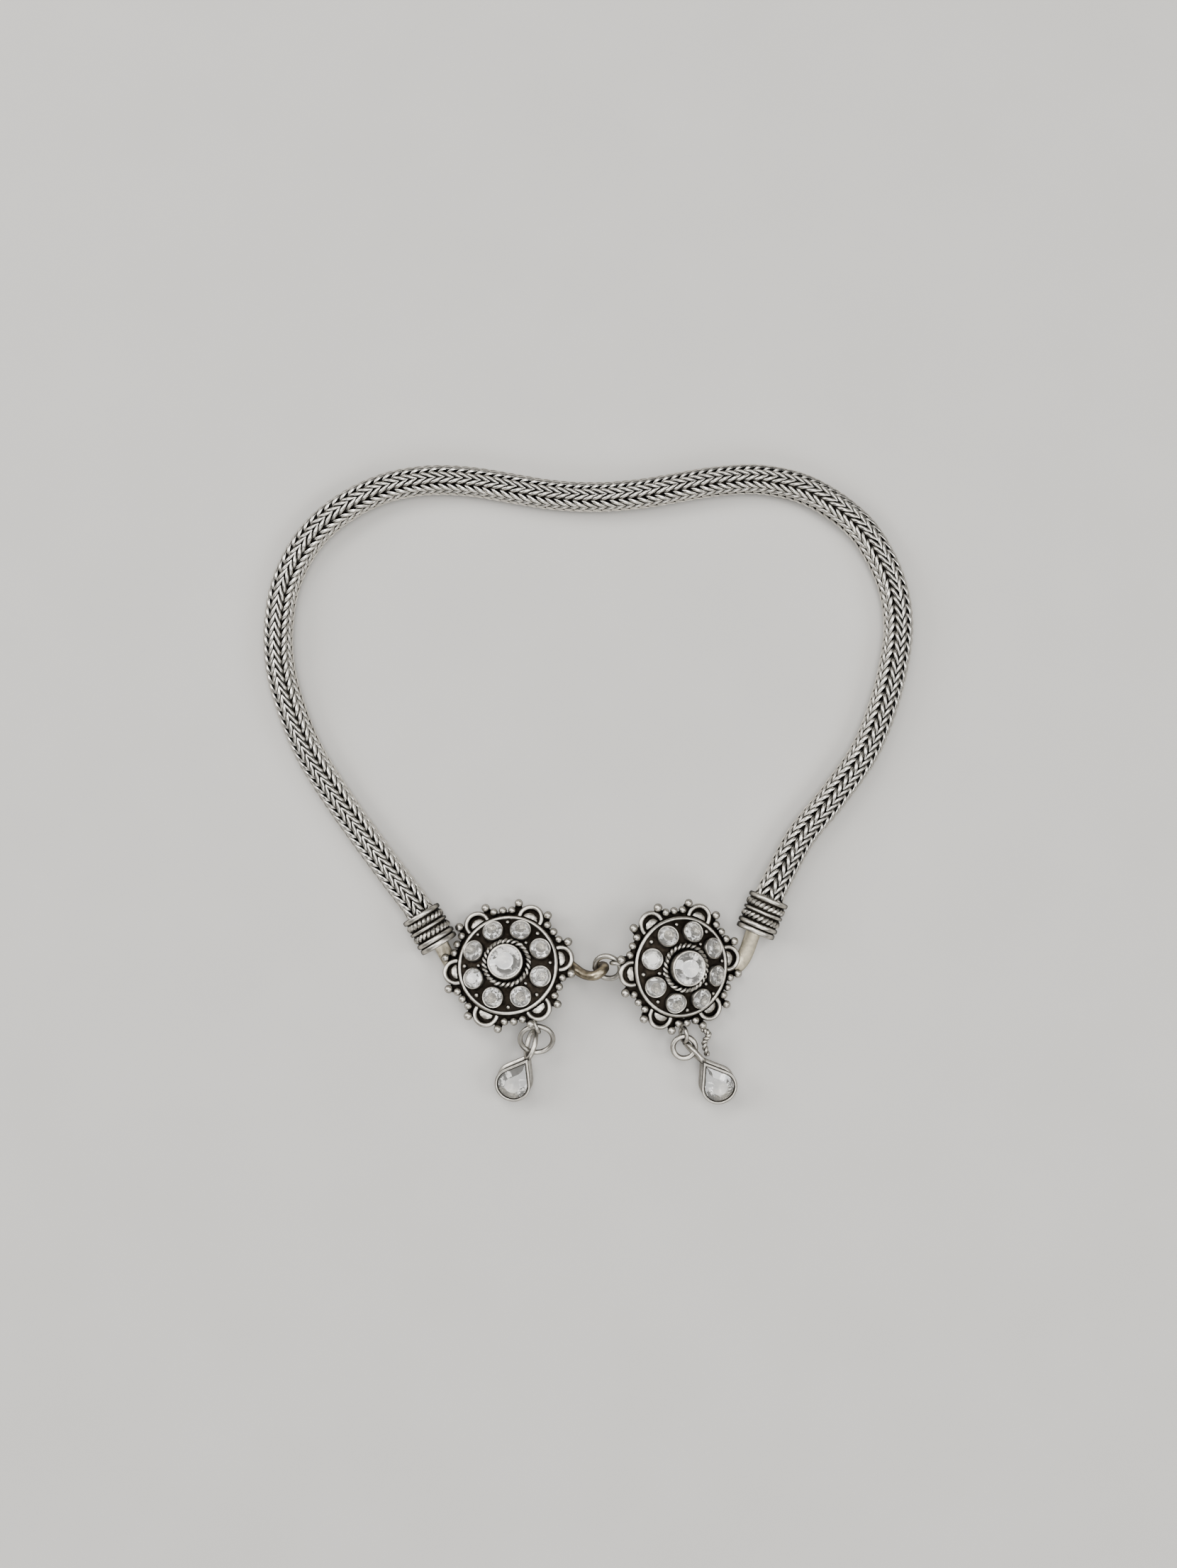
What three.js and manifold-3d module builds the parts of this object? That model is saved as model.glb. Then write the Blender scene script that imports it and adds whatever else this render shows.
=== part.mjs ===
// Payal anklet: a round woven silver chain with ribbed end caps, two stone-set rosettes that a hook
// and ring fasten to each other, and a pear drop under each rosette. It lies flat. Millimetres, +Z up.
import * as THREE from "three";
import { mergeVertices } from "three/addons/utils/BufferGeometryUtils.js";
import Module from "manifold-3d";

const wasm = await Module();
wasm.setup();

// Chain
const chainDiameter = 4.3;
const chainSides = 10;
const chainSteps = 64;
const chainRiseLength = 14; // stretch over which the chain lifts off the surface to enter a cap
// Centreline seen from above, from the left cap round to the right cap: [x, y].
const chainRoute = [
  [-27.0, -13.5],
  [-31.5, -7.5],
  [-35.7, -1.5],
  [-39.4, 4.5],
  [-41.9, 10.5],
  [-43.5, 16.5],
  [-43.7, 22.5],
  [-42.6, 28.5],
  [-39.4, 34.5],
  [-35.1, 38.5],
  [-29.1, 41.6],
  [-23.1, 42.8],
  [-17.1, 42.7],
  [-5.1, 40.8],
  [0.9, 40.5],
  [6.9, 40.9],
  [18.9, 42.8],
  [24.9, 42.9],
  [30.9, 41.4],
  [36.9, 37.6],
  [39.7, 34.5],
  [42.7, 28.5],
  [43.7, 22.5],
  [43.0, 16.5],
  [41.4, 10.5],
  [38.9, 4.5],
  [34.7, -1.5],
  [29.9, -7.5],
  [26.6, -13.5],
];

// End caps
const capLength = 5.4;
const capWall = 0.65;
const capSides = 16;
const capSocketDepth = 4.2;
const socketClearance = 0.1;
const socketFloorGap = 0.3;
const chainLead = 1.5; // straight stretch of chain in front of a cap
// Bands from the mouth to the closed end: share of the cap's length, share of its wall.
const capBands = [
  { length: 0.13, wall: 1.0 },
  { length: 0.045, wall: 0.5 },
  { length: 0.185, wall: 0.88 },
  { length: 0.045, wall: 0.5 },
  { length: 0.085, wall: 0.97 },
  { length: 0.045, wall: 0.5 },
  { length: 0.185, wall: 0.88 },
  { length: 0.045, wall: 0.5 },
  { length: 0.14, wall: 1.0 },
  { length: 0.095, wall: 0.45 },
];
const bandFloor = 0.5; // share of the wall that the dark grooves leave
const bandBevel = 0.22; // share of a raised band's width that slopes at each edge

// Strap that ties a cap to its rosette: it curls round a bar on the rosette's back
const strapWidth = 2.1;
const strapThickness = 0.45;
const strapLift = 0.1; // gap between the strap and the surface
const strapStart = 1.0; // height of the strap where it is soldered to the cap
const strapInset = 0.3;
const barWire = 0.6;
const barClearance = 0.12;
const barReach = 5.2; // from the rosette's centre
const barSpare = 0.3; // room between the curl and each leg of the bar
const curlTurn = 270;
const curlSteps = 8;
const strapSteps = 9;

// Rosettes
const backThickness = 0.35;
const beadRise = 0.3; // of a bead's centre over the back plate
const backRadius = 7.75;
const domeRadius = 6.9;
const domeEdge = 0.9;
const domeRise = 1.7;
const domeRings = 3;
const rimDiameter = 14.2;
const rimWire = 0.6;
const rosetteSides = 20;
const lobeCount = 6;
const scallopOuter = 9.35;
const scallopWire = 0.65;
const scallopRadius = 1.6; // of the wire's centreline
const scallopSweep = 200;
const halfDiscRadius = 1.1;
const halfDiscHeight = 0.75;
const innerBeadRadius = 0.56;
const innerBeadOverhang = 0.18; // of an inner bead's centre past the plate's edge
const innerBeadSpacing = 9.6; // degrees
const outerBeadRadius = 0.6;
const outerBeadCircle = 9.0;
const outerBeadSpread = 15.2; // degrees either side of the middle of a gap
const beadFootRadius = 0.5;
const beadFootInset = 0.45;
const beadSides = 9;
const outlineSteps = 60;

// Round stones and their cups
const petalCount = 8;
const petalCircle = 4.95;
const petalLean = 20;
const petalStone = { radius: 1.36, seat: 0.55, crown: 0.35, pavilion: 0.43, foot: 0.3 };
const centreStone = { radius: 2.22, seat: 1.15, crown: 0.45, pavilion: 0.98, foot: 0.6 };
const cupWall = 0.14;
const centreCupWall = 0.27;
const stoneClearance = 0.07;
const cupLip = 0.1; // height of a cup's lip over the stone's girdle
const cupSides = 12;
const centreCupSides = 16;
const tableShare = 0.58;

// Loops soldered behind the rosettes
const earRadius = 1.0;
const earWire = 0.6;
const earSteps = 10;

// Clasp
const ringRadius = 1.8;
const ringWire = 0.75;
const hookWire = 1.4;
const hookEyeWire = 0.9;
const hookEyeRadius = 1.1;
const hookClearance = 0.12;
const hookTip = 0.5;
const hookBow = 0.45;

// Drops
const pearRadius = 2.56;
const pearReach = 4.6; // from the round end's centre to the tip
const pearArcSteps = 11;
const pearDepth = 2.4;
const pearRim = 0.34;
const pearPocket = 1.05;
const pearStoneClearance = 0.07;
const pearCrown = 0.4;
// Side of the setting from its back to its front: share of the depth, share of the waist's inset.
const pearSections = [
  { height: 0, inset: 0 },
  { height: 0.13, inset: 0 },
  { height: 0.2, inset: 1 },
  { height: 0.74, inset: 0.9 },
  { height: 0.82, inset: 0 },
  { height: 1, inset: 0.15 },
];
const pearWaist = 0.36;
const bailHalfLength = 2;
const bailHalfWidth = 1.0;
const bailWire = 0.72;
const bailGrip = 0.85; // how far the bail's wire sinks into the setting's tip
const bailHeight = 0.9; // above the setting's back
const wireSides = 6;
const ringSteps = 14;
const degree = Math.PI / 180;

const chainRadius = chainDiameter / 2;
const chainHeight = chainRadius * Math.cos(Math.PI / chainSides);
const socketRadius = chainRadius + socketClearance;
const capRadius = socketRadius + capWall;
const strapHeight = strapLift + strapThickness / 2;
const curlRadius = barWire / 2 + barClearance + strapThickness / 2;
const scallopCircle = scallopOuter - scallopWire / 2 - scallopRadius;
const innerBeadCircle = backRadius + innerBeadOverhang;

// Each side of the clasp: where its cap, rosette, jump ring and drop lie. Angles in degrees.
const leftSide = {
  name: "left",
  capMouth: [-23.68, -18.1],
  capHeading: -59,
  centre: [-11.2, -25.65],
  height: 3.15,
  tilt: 17,
  lean: 112,
  turn: 7,
  petalTurn: 24,
  strapAngle: 189,
  strapLeave: 2.4,
  strapEnter: 3.2,
  ears: [
    { angle: -64.5, reach: 9.2, drop: 0.4 },
    { angle: 5, reach: 6.6, drop: 0.8 },
  ],
  jumpRing: { radius: 2.3, wire: 0.7, heading: -88, slope: 32, passes: 0.12 },
  bail: { at: -28, heading: -103, slope: 15, roll: 30, offset: 1.05 },
  pear: { heading: -120, tilt: 19 },
};
const rightSide = {
  name: "right",
  capMouth: [25.44, -15.98],
  capHeading: -112.7,
  centre: [12.6, -25.55],
  height: 4.1,
  tilt: 22,
  lean: 0,
  turn: 7,
  petalTurn: 30,
  strapAngle: -9,
  strapLeave: 3.0,
  strapEnter: 4.6,
  ears: [
    { angle: -84, reach: 9.7, drop: 0.4 },
    { angle: 176, reach: 8.7, drop: 1.0 },
  ],
  jumpRing: { radius: 1.58, wire: 0.75, heading: -88, slope: 10, passes: 0.28 },
  bail: { at: 62, heading: -44, slope: 30, roll: 12, offset: 1.95 },
  pear: { heading: -58, tilt: 19 },
};
const clasp = { heading: 22, slope: 26, roll: 18 };

const silver = new THREE.MeshStandardMaterial({ color: 0xa9a59c, metalness: 1, roughness: 0.34 });
const chainSilver = new THREE.MeshStandardMaterial({ color: 0x8f8c85, metalness: 1, roughness: 0.4 });
const stone = new THREE.MeshStandardMaterial({ color: 0xdcdad2, metalness: 0, roughness: 0.08 });

const up = new THREE.Vector3(0, 0, 1);

function point(x, y, z) {
  return new THREE.Vector3(x, y, z);
}

function polar(radius, angle, height = 0) {
  return point(radius * Math.cos(angle * degree), radius * Math.sin(angle * degree), height);
}

// Direction with a heading seen from above and a slope above the horizontal.
function direction(heading, slope = 0) {
  return polar(Math.cos(slope * degree), heading, Math.sin(slope * degree));
}

// A closed geometry as a solid, with its faces turned outwards.
function solid(geometry) {
  const bare = geometry.clone();
  bare.deleteAttribute("normal");
  bare.deleteAttribute("uv");
  const merged = mergeVertices(bare, 1e-4);
  const position = merged.getAttribute("position");
  const index = merged.getIndex().array;
  const corners = [0, 1, 2].map(() => new THREE.Vector3());
  const triangles = [];
  let volume = 0;
  for (let i = 0; i < index.length; i += 3) {
    const [a, b, c] = [index[i], index[i + 1], index[i + 2]];
    if (a === b || b === c || a === c) continue;
    corners.forEach((corner, k) => corner.fromBufferAttribute(position, [a, b, c][k]));
    volume += corners[0].dot(corners[1].clone().cross(corners[2]));
    triangles.push(a, b, c);
  }
  if (volume < 0) triangles.reverse();
  const mesh = new wasm.Mesh({
    numProp: 3,
    vertProperties: new Float32Array(position.array),
    triVerts: new Uint32Array(triangles),
  });
  return new wasm.Manifold(mesh);
}

function join(geometries) {
  return geometries.map(solid).reduce((whole, piece) => whole.add(piece));
}

function geometryOf(manifold) {
  const mesh = manifold.getMesh();
  const geometry = new THREE.BufferGeometry();
  const vertices = new Float32Array(mesh.numVert * 3);
  for (let i = 0; i < mesh.numVert; i++) {
    vertices.set(mesh.vertProperties.subarray(i * mesh.numProp, i * mesh.numProp + 3), i * 3);
  }
  geometry.setAttribute("position", new THREE.BufferAttribute(vertices, 3));
  geometry.setIndex(new THREE.BufferAttribute(mesh.triVerts, 1));
  geometry.computeVertexNormals();
  return geometry;
}

function named(name, shape, material) {
  const geometry = shape.isBufferGeometry ? geometryOf(solid(shape)) : geometryOf(shape);
  const mesh = new THREE.Mesh(geometry, material);
  mesh.name = name;
  return mesh;
}

function polygon(radius, sides) {
  const corners = [];
  for (let i = 0; i < sides; i++) {
    const angle = ((i + 0.5) * 2 * Math.PI) / sides;
    corners.push(new THREE.Vector2(radius * Math.cos(angle), radius * Math.sin(angle)));
  }
  return new THREE.Shape(corners);
}

function wire(curve, radius, steps, sides = wireSides) {
  return new THREE.ExtrudeGeometry(polygon(radius, sides), {
    steps,
    extrudePath: curve,
    bevelEnabled: false,
  });
}

// A solid through rings of points, closed at both ends by fans. A ring of one point is a tip.
function loft(rings) {
  const vertices = [];
  const starts = [];
  const triangles = [];
  for (const ring of rings) {
    starts.push(vertices.length / 3);
    ring.forEach((p) => vertices.push(p.x, p.y, p.z));
  }
  for (let k = 0; k + 1 < rings.length; k++) {
    const [low, high] = [rings[k], rings[k + 1]];
    const count = Math.max(low.length, high.length);
    for (let i = 0; i < count; i++) {
      const next = (i + 1) % count;
      const a = starts[k] + (i % low.length);
      const b = starts[k] + (next % low.length);
      const c = starts[k + 1] + (next % high.length);
      const d = starts[k + 1] + (i % high.length);
      if (low.length > 1) triangles.push(a, b, c);
      if (high.length > 1) triangles.push(a, c, d);
    }
  }
  for (const k of [0, rings.length - 1]) {
    for (let i = 1; i + 1 < rings[k].length; i++) {
      const [b, c] = k === 0 ? [i + 1, i] : [i, i + 1];
      triangles.push(starts[k], starts[k] + b, starts[k] + c);
    }
  }
  const geometry = new THREE.BufferGeometry();
  geometry.setAttribute("position", new THREE.Float32BufferAttribute(vertices, 3));
  geometry.setIndex(triangles);
  return geometry;
}

// Frame with its origin at a point, its Z along an axis and its X as near as can be to a hint.
function frameAt(origin, axis, hint) {
  const z = axis.clone().normalize();
  const x = hint.clone().addScaledVector(z, -hint.dot(z)).normalize();
  const y = z.clone().cross(x);
  return new THREE.Matrix4().makeBasis(x, y, z).setPosition(origin);
}

function torus(radius, wireRadius, matrix, steps = ringSteps) {
  return new THREE.TorusGeometry(radius, wireRadius, wireSides, steps).applyMatrix4(matrix);
}

// Chain and caps

function capAxis(side) {
  return direction(side.capHeading);
}

function capPoint(side, distance) {
  const mouth = point(side.capMouth[0], side.capMouth[1], capRadius);
  return mouth.addScaledVector(capAxis(side), distance);
}

// The chain rests on the surface and rises smoothly to the height of a cap near its mouth.
function chainPoint([x, y]) {
  const away = [leftSide, rightSide].map((side) => {
    const mouth = capPoint(side, 0);
    return Math.hypot(mouth.x - x, mouth.y - y);
  });
  const share = THREE.MathUtils.smoothstep(chainRiseLength - Math.min(...away), 0, chainRiseLength);
  return point(x, y, THREE.MathUtils.lerp(chainHeight, capRadius, share));
}

function wovenChain() {
  const inside = capSocketDepth - socketFloorGap;
  const curve = new THREE.CatmullRomCurve3([
    capPoint(leftSide, inside),
    capPoint(leftSide, 0),
    capPoint(leftSide, -chainLead),
    ...chainRoute.map(chainPoint),
    capPoint(rightSide, -chainLead),
    capPoint(rightSide, 0),
    capPoint(rightSide, inside),
  ]);
  return named("woven_chain", wire(curve, chainRadius, chainSteps, chainSides), chainSilver);
}

function capBody() {
  const floor = socketRadius + capWall * bandFloor;
  const profile = [
    [0, capSocketDepth],
    [socketRadius, capSocketDepth],
    [socketRadius, 0],
  ];
  let height = 0;
  for (const band of capBands) {
    const width = band.length * capLength;
    const radius = socketRadius + capWall * band.wall;
    const slope = band.wall > bandFloor ? width * bandBevel : 0;
    if (slope) profile.push([floor, height]);
    profile.push([radius, height + slope], [radius, height + width - slope]);
    height += width;
  }
  profile.push([0, height]);
  const points = profile.map(([x, y]) => new THREE.Vector2(x, y));
  return new THREE.LatheGeometry(points, capSides).rotateX(Math.PI / 2);
}

// Rosettes

function rosetteMatrix(side) {
  const normal = direction(side.lean, 90 - side.tilt);
  const turned = new THREE.Quaternion().setFromUnitVectors(up, normal);
  const origin = point(side.centre[0], side.centre[1], side.height);
  return new THREE.Matrix4().compose(origin, turned, point(1, 1, 1));
}

function domeHeight(radius) {
  const ball = (domeRadius ** 2 + domeRise ** 2) / (2 * domeRise);
  return domeEdge + domeRise - ball + Math.sqrt(ball ** 2 - radius ** 2);
}

// Domed ground with the rim wire round it, turned in one.
function dome() {
  const rimRadius = (rimDiameter - rimWire) / 2;
  const profile = [new THREE.Vector2(0, 0), new THREE.Vector2(rimRadius, 0)];
  for (const angle of [0, 45, 90, 135, 180]) {
    const across = (rimWire / 2) * Math.cos(angle * degree);
    const above = (rimWire / 2) * Math.sin(angle * degree);
    profile.push(new THREE.Vector2(rimRadius + across, domeEdge + above));
  }
  for (let i = 1; i <= domeRings; i++) {
    const radius = (rimRadius - rimWire / 2) * (1 - i / domeRings);
    profile.push(new THREE.Vector2(radius, domeHeight(radius)));
  }
  return new THREE.LatheGeometry(profile, rosetteSides).rotateX(Math.PI / 2);
}

// How far out a disc reaches along a ray that leaves the rosette's centre at an angle to it.
function discReach(circle, radius, away) {
  const miss = circle * Math.sin(away * degree);
  if (Math.abs(miss) > radius || Math.cos(away * degree) < 0) return 0;
  return circle * Math.cos(away * degree) + Math.sqrt(radius ** 2 - miss ** 2);
}

// Back plate: a disc with a lobe under each scallop and a foot under each outer bead.
function backPlate(turn) {
  const pitch = 360 / lobeCount;
  const outline = [];
  for (let i = 0; i < outlineSteps; i++) {
    const angle = (i * 360) / outlineSteps;
    const away = ((angle % pitch) + pitch / 2) % pitch - pitch / 2;
    const fromBead = Math.abs(away) - (pitch / 2 - outerBeadSpread);
    const reach = Math.max(
      backRadius,
      discReach(scallopCircle, scallopRadius, away),
      discReach(outerBeadCircle - beadFootInset, beadFootRadius, fromBead),
    );
    const corner = polar(reach, angle + turn);
    outline.push(new THREE.Vector2(corner.x, corner.y));
  }
  const plate = new THREE.Shape(outline);
  return new THREE.ExtrudeGeometry(plate, { depth: backThickness, bevelEnabled: false });
}

function bead(radius, circle, angle) {
  const ball = new THREE.SphereGeometry(radius, beadSides, 3).rotateX(Math.PI / 2);
  const place = polar(circle, angle, backThickness + beadRise);
  return ball.translate(place.x, place.y, place.z);
}

function beadGroup(middle) {
  const pieces = [-1, 0, 1].map((k) =>
    bead(innerBeadRadius, innerBeadCircle, middle + k * innerBeadSpacing),
  );
  for (const side of [-1, 1]) {
    const angle = middle + side * outerBeadSpread;
    pieces.push(bead(outerBeadRadius, outerBeadCircle, angle));
  }
  return pieces;
}

class Arc extends THREE.Curve {
  constructor(radius, sweep) {
    super();
    this.radius = radius;
    this.sweep = sweep;
  }
  getPoint(t, target = new THREE.Vector3()) {
    return target.copy(polar(this.radius, (t - 0.5) * this.sweep));
  }
}

function scallop(angle) {
  const arc = wire(new Arc(scallopRadius, scallopSweep), scallopWire / 2, 6, 5);
  arc.translate(scallopCircle, 0, backThickness + scallopWire / 4);
  const half = new THREE.Shape().absarc(0, 0, halfDiscRadius, -Math.PI / 2, Math.PI / 2);
  const depth = halfDiscHeight - backThickness / 2;
  const disc = new THREE.ExtrudeGeometry(half, { depth, curveSegments: 6, bevelEnabled: false });
  disc.translate((rimDiameter - rimWire) / 2, 0, backThickness / 2);
  return [arc, disc].map((piece) => piece.rotateZ(angle * degree));
}

function petalMatrix(side, k) {
  const angle = side.petalTurn + (k * 360) / petalCount;
  const origin = polar(petalCircle, angle, domeHeight(petalCircle));
  const axis = direction(angle, 90 - petalLean);
  return frameAt(origin, axis, polar(1, angle));
}

function centreMatrix() {
  return new THREE.Matrix4().makeTranslation(0, 0, domeEdge + domeRise);
}

// Closed cup whose lip stands a little over the stone's girdle.
function cup(size, wall, sides, matrix) {
  const inner = size.radius + stoneClearance;
  const floor = size.seat - size.pavilion - stoneClearance;
  const profile = [
    [0, -size.foot],
    [inner + wall, -size.foot],
    [inner + wall, size.seat + cupLip],
    [inner, size.seat + cupLip],
    [inner, floor],
    [0, floor],
  ].map(([x, y]) => new THREE.Vector2(x, y));
  return new THREE.LatheGeometry(profile, sides).rotateX(Math.PI / 2).applyMatrix4(matrix);
}

// Round brilliant: sixteen-sided girdle, eight-sided table, point below.
function roundStone(size) {
  const facets = 8;
  const girdle = [];
  const table = [];
  for (let i = 0; i < 2 * facets; i++) {
    const angle = (i * 180) / facets;
    const flat = i % 2 ? Math.cos(Math.PI / facets) : 1;
    girdle.push(polar(size.radius, angle, size.seat));
    table.push(polar(size.radius * tableShare * flat, angle, size.seat + size.crown));
  }
  return loft([[point(0, 0, size.seat - size.pavilion)], girdle, table]);
}

// Wire loop that stands square to the rosette's edge. One past the edge has a short lug to the plate.
function ear({ angle, reach, drop }) {
  const loop = frameAt(polar(reach, angle, -drop), polar(1, angle + 90), polar(1, angle));
  const pieces = [torus(earRadius, earWire / 2, loop, earSteps)];
  if (reach > backRadius) {
    const root = polar(backRadius - earWire, angle, backThickness / 2);
    const end = polar(reach - earRadius, angle, -drop);
    pieces.push(wire(new THREE.LineCurve3(root, end), earWire / 2, 1));
  }
  return pieces;
}

// The bar crosses under the plate, square to the strap, on two legs.
function barPieces(side, matrix) {
  const { place, across } = barPlace(side);
  const half = strapWidth / 2 + barSpare + barWire / 2;
  const ends = [-1, 1].map((k) => place.clone().addScaledVector(across, k * half));
  const spread = barWire / 2;
  const bar = new THREE.LineCurve3(
    ends[0].clone().addScaledVector(across, -spread),
    ends[1].clone().addScaledVector(across, spread),
  );
  const normal = point(0, 0, 0).setFromMatrixColumn(matrix, 2);
  const back = point(0, 0, 0).setFromMatrixPosition(matrix);
  const legs = ends.map((end) => {
    const rise = (back.clone().sub(end).dot(normal) + backThickness / 2) / normal.z;
    return wire(new THREE.LineCurve3(end, end.clone().addScaledVector(up, rise)), barWire / 2, 1);
  });
  return [wire(bar, barWire / 2, 1), ...legs];
}

function barPlace(side) {
  const along = direction(side.strapAngle);
  const across = direction(side.strapAngle + 90);
  const place = point(side.centre[0], side.centre[1], strapHeight + curlRadius);
  place.addScaledVector(along, barReach);
  return { place, along, across };
}

function rosette(side) {
  const matrix = rosetteMatrix(side);
  const lobes = [...Array(lobeCount).keys()].map((k) => side.turn + (k * 360) / lobeCount);
  const petals = [...Array(petalCount).keys()].map((k) => petalMatrix(side, k));
  const pieces = [
    backPlate(side.turn),
    dome(),
    ...lobes.flatMap((angle) => scallop(angle)),
    ...lobes.flatMap((angle) => beadGroup(angle + 180 / lobeCount)),
    ...petals.map((place) => cup(petalStone, cupWall, cupSides, place)),
    cup(centreStone, centreCupWall, centreCupSides, centreMatrix()),
    ...side.ears.flatMap((loop) => ear(loop)),
  ].map((piece) => piece.applyMatrix4(matrix));
  return join([...pieces, ...barPieces(side, matrix)]);
}

// Flat band from the cap's end that curls round the bar on the rosette's back.
function strap(side) {
  const { place, along } = barPlace(side);
  const start = capPoint(side, capLength - strapInset).setZ(strapStart);
  const end = place.clone().setZ(strapHeight);
  const route = new THREE.CubicBezierCurve3(
    start,
    start.clone().addScaledVector(capAxis(side), side.strapLeave).setZ(strapHeight),
    end.clone().addScaledVector(along, side.strapEnter),
    end,
  );
  const sections = [];
  for (let i = 0; i <= strapSteps; i++) {
    const tangent = route.getTangent(i / strapSteps);
    sections.push([route.getPoint(i / strapSteps), tangent, tangent.clone().cross(up).normalize()]);
  }
  const inward = along.clone().negate();
  const sideways = inward.clone().cross(up);
  for (let i = 1; i <= curlSteps; i++) {
    const angle = ((i * curlTurn) / curlSteps) * degree;
    const centre = place
      .clone()
      .addScaledVector(inward, curlRadius * Math.sin(angle))
      .addScaledVector(up, -curlRadius * Math.cos(angle));
    const tangent = inward.clone().multiplyScalar(Math.cos(angle));
    sections.push([centre, tangent.addScaledVector(up, Math.sin(angle)), sideways]);
  }
  return loft(
    sections.map(([centre, tangent, across]) => {
      const thick = across.clone().cross(tangent).normalize();
      return [
        [-1, -1],
        [1, -1],
        [1, 1],
        [-1, 1],
      ].map(([u, v]) =>
        centre
          .clone()
          .addScaledVector(across, (u * strapWidth) / 2)
          .addScaledVector(thick, (v * strapThickness) / 2),
      );
    }),
  );
}

function endCap(side) {
  const matrix = frameAt(capPoint(side, 0), capAxis(side), up);
  const body = capBody().applyMatrix4(matrix);
  return named(side.name + "_end_cap", join([body, strap(side)]), silver);
}

function rosetteStones(side) {
  const matrix = rosetteMatrix(side);
  const centre = roundStone(centreStone).applyMatrix4(centreMatrix()).applyMatrix4(matrix);
  const stones = [named(side.name + "_centre_stone", centre, stone)];
  for (let k = 0; k < petalCount; k++) {
    const petal = roundStone(petalStone).applyMatrix4(petalMatrix(side, k)).applyMatrix4(matrix);
    stones.push(named(side.name + "_petal_stone_" + (k + 1), petal, stone));
  }
  return stones;
}

function earCentre(side, ear) {
  return polar(ear.reach, ear.angle, -ear.drop).applyMatrix4(rosetteMatrix(side));
}

// Clasp

function claspRingFrame() {
  const hold = earCentre(rightSide, rightSide.ears[1]);
  const along = direction(clasp.heading, clasp.slope);
  const level = direction(clasp.heading + 90);
  const tilted = level.clone().applyAxisAngle(along, clasp.roll * degree);
  const normal = along.clone().cross(tilted);
  const centre = hold.clone().addScaledVector(along, -ringRadius);
  return { along, normal, centre };
}

function claspRing() {
  const { along, normal, centre } = claspRingFrame();
  return named("clasp_ring", torus(ringRadius, ringWire / 2, frameAt(centre, normal, along)), silver);
}

// The hook's eye holds the left rosette's loop; its shank passes over the ring's wire and bends under it.
function claspHook() {
  const { along, normal, centre } = claspRingFrame();
  const held = centre.clone().addScaledVector(along, -ringRadius);
  const reach = ringWire / 2 + hookWire / 2 + hookClearance;
  const ear = earCentre(leftSide, leftSide.ears[1]);
  const level = point(held.x - ear.x, held.y - ear.y, 0).normalize();
  const eye = ear.clone().addScaledVector(level, hookEyeRadius);
  const front = eye.clone().addScaledVector(level, hookEyeRadius);
  const bend = [0, 45, 90, 135, 180].map((angle) =>
    held
      .clone()
      .addScaledVector(normal, reach * Math.cos(angle * degree))
      .addScaledVector(along, reach * Math.sin(angle * degree)),
  );
  const middle = front.clone().lerp(bend[0], 0.55);
  middle.y -= hookBow;
  const tip = bend[4].clone().addScaledVector(along, -hookTip);
  const shank = new THREE.CatmullRomCurve3([front, middle, ...bend, tip]);
  const pieces = [
    torus(hookEyeRadius, hookEyeWire / 2, frameAt(eye, up, level)),
    wire(shank, hookWire / 2, 16),
  ];
  return named("clasp_hook", join(pieces), silver);
}

// Drops

function jumpRingFrame(side) {
  const { radius, heading, slope, passes } = side.jumpRing;
  const along = direction(heading, -slope);
  const level = direction(heading + 90);
  const hold = earCentre(side, side.ears[0]).addScaledVector(direction(heading), passes);
  const centre = hold.addScaledVector(along, radius);
  return { along, level, centre, normal: along.clone().cross(level) };
}

function jumpRing(side) {
  const { along, centre, normal } = jumpRingFrame(side);
  const { radius, wire: thick } = side.jumpRing;
  return named(
    side.name + "_jump_ring",
    torus(radius, thick / 2, frameAt(centre, normal, along)),
    silver,
  );
}

// The bail's long way runs from its free end to the drop's tip, with the jump ring's wire inside it.
function bailFrame(side) {
  const ring = jumpRingFrame(side);
  const { at, heading, slope, roll, offset } = side.bail;
  const held = ring.centre
    .clone()
    .addScaledVector(ring.along, side.jumpRing.radius * Math.cos(at * degree))
    .addScaledVector(ring.level, side.jumpRing.radius * Math.sin(at * degree));
  const along = direction(heading, slope);
  const centre = held.clone().addScaledVector(along, -(bailHalfLength - offset));
  const across = direction(heading + 90).applyAxisAngle(along, (90 - roll) * degree);
  return { along, centre, normal: along.clone().cross(across) };
}

function pearOutline(inset, height) {
  const radius = pearRadius - inset;
  const reach = pearReach - (inset * pearReach) / pearRadius;
  const open = Math.acos(radius / reach) / degree;
  const points = [point(0, reach, height)];
  for (let i = 0; i <= pearArcSteps; i++) {
    points.push(polar(radius, 90 + open + (i * (360 - 2 * open)) / pearArcSteps, height));
  }
  return points;
}

function pearMatrix(side) {
  const { along, centre } = bailFrame(side);
  const { heading, tilt } = side.pear;
  const tipward = direction(heading + 180, tilt);
  const front = direction(heading, 90 - tilt);
  const origin = centre
    .clone()
    .addScaledVector(along, bailHalfLength)
    .addScaledVector(tipward, -(pearReach + bailWire / 2 - bailGrip))
    .addScaledVector(front, -bailHeight);
  return frameAt(origin, front, tipward.clone().cross(front));
}

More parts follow.
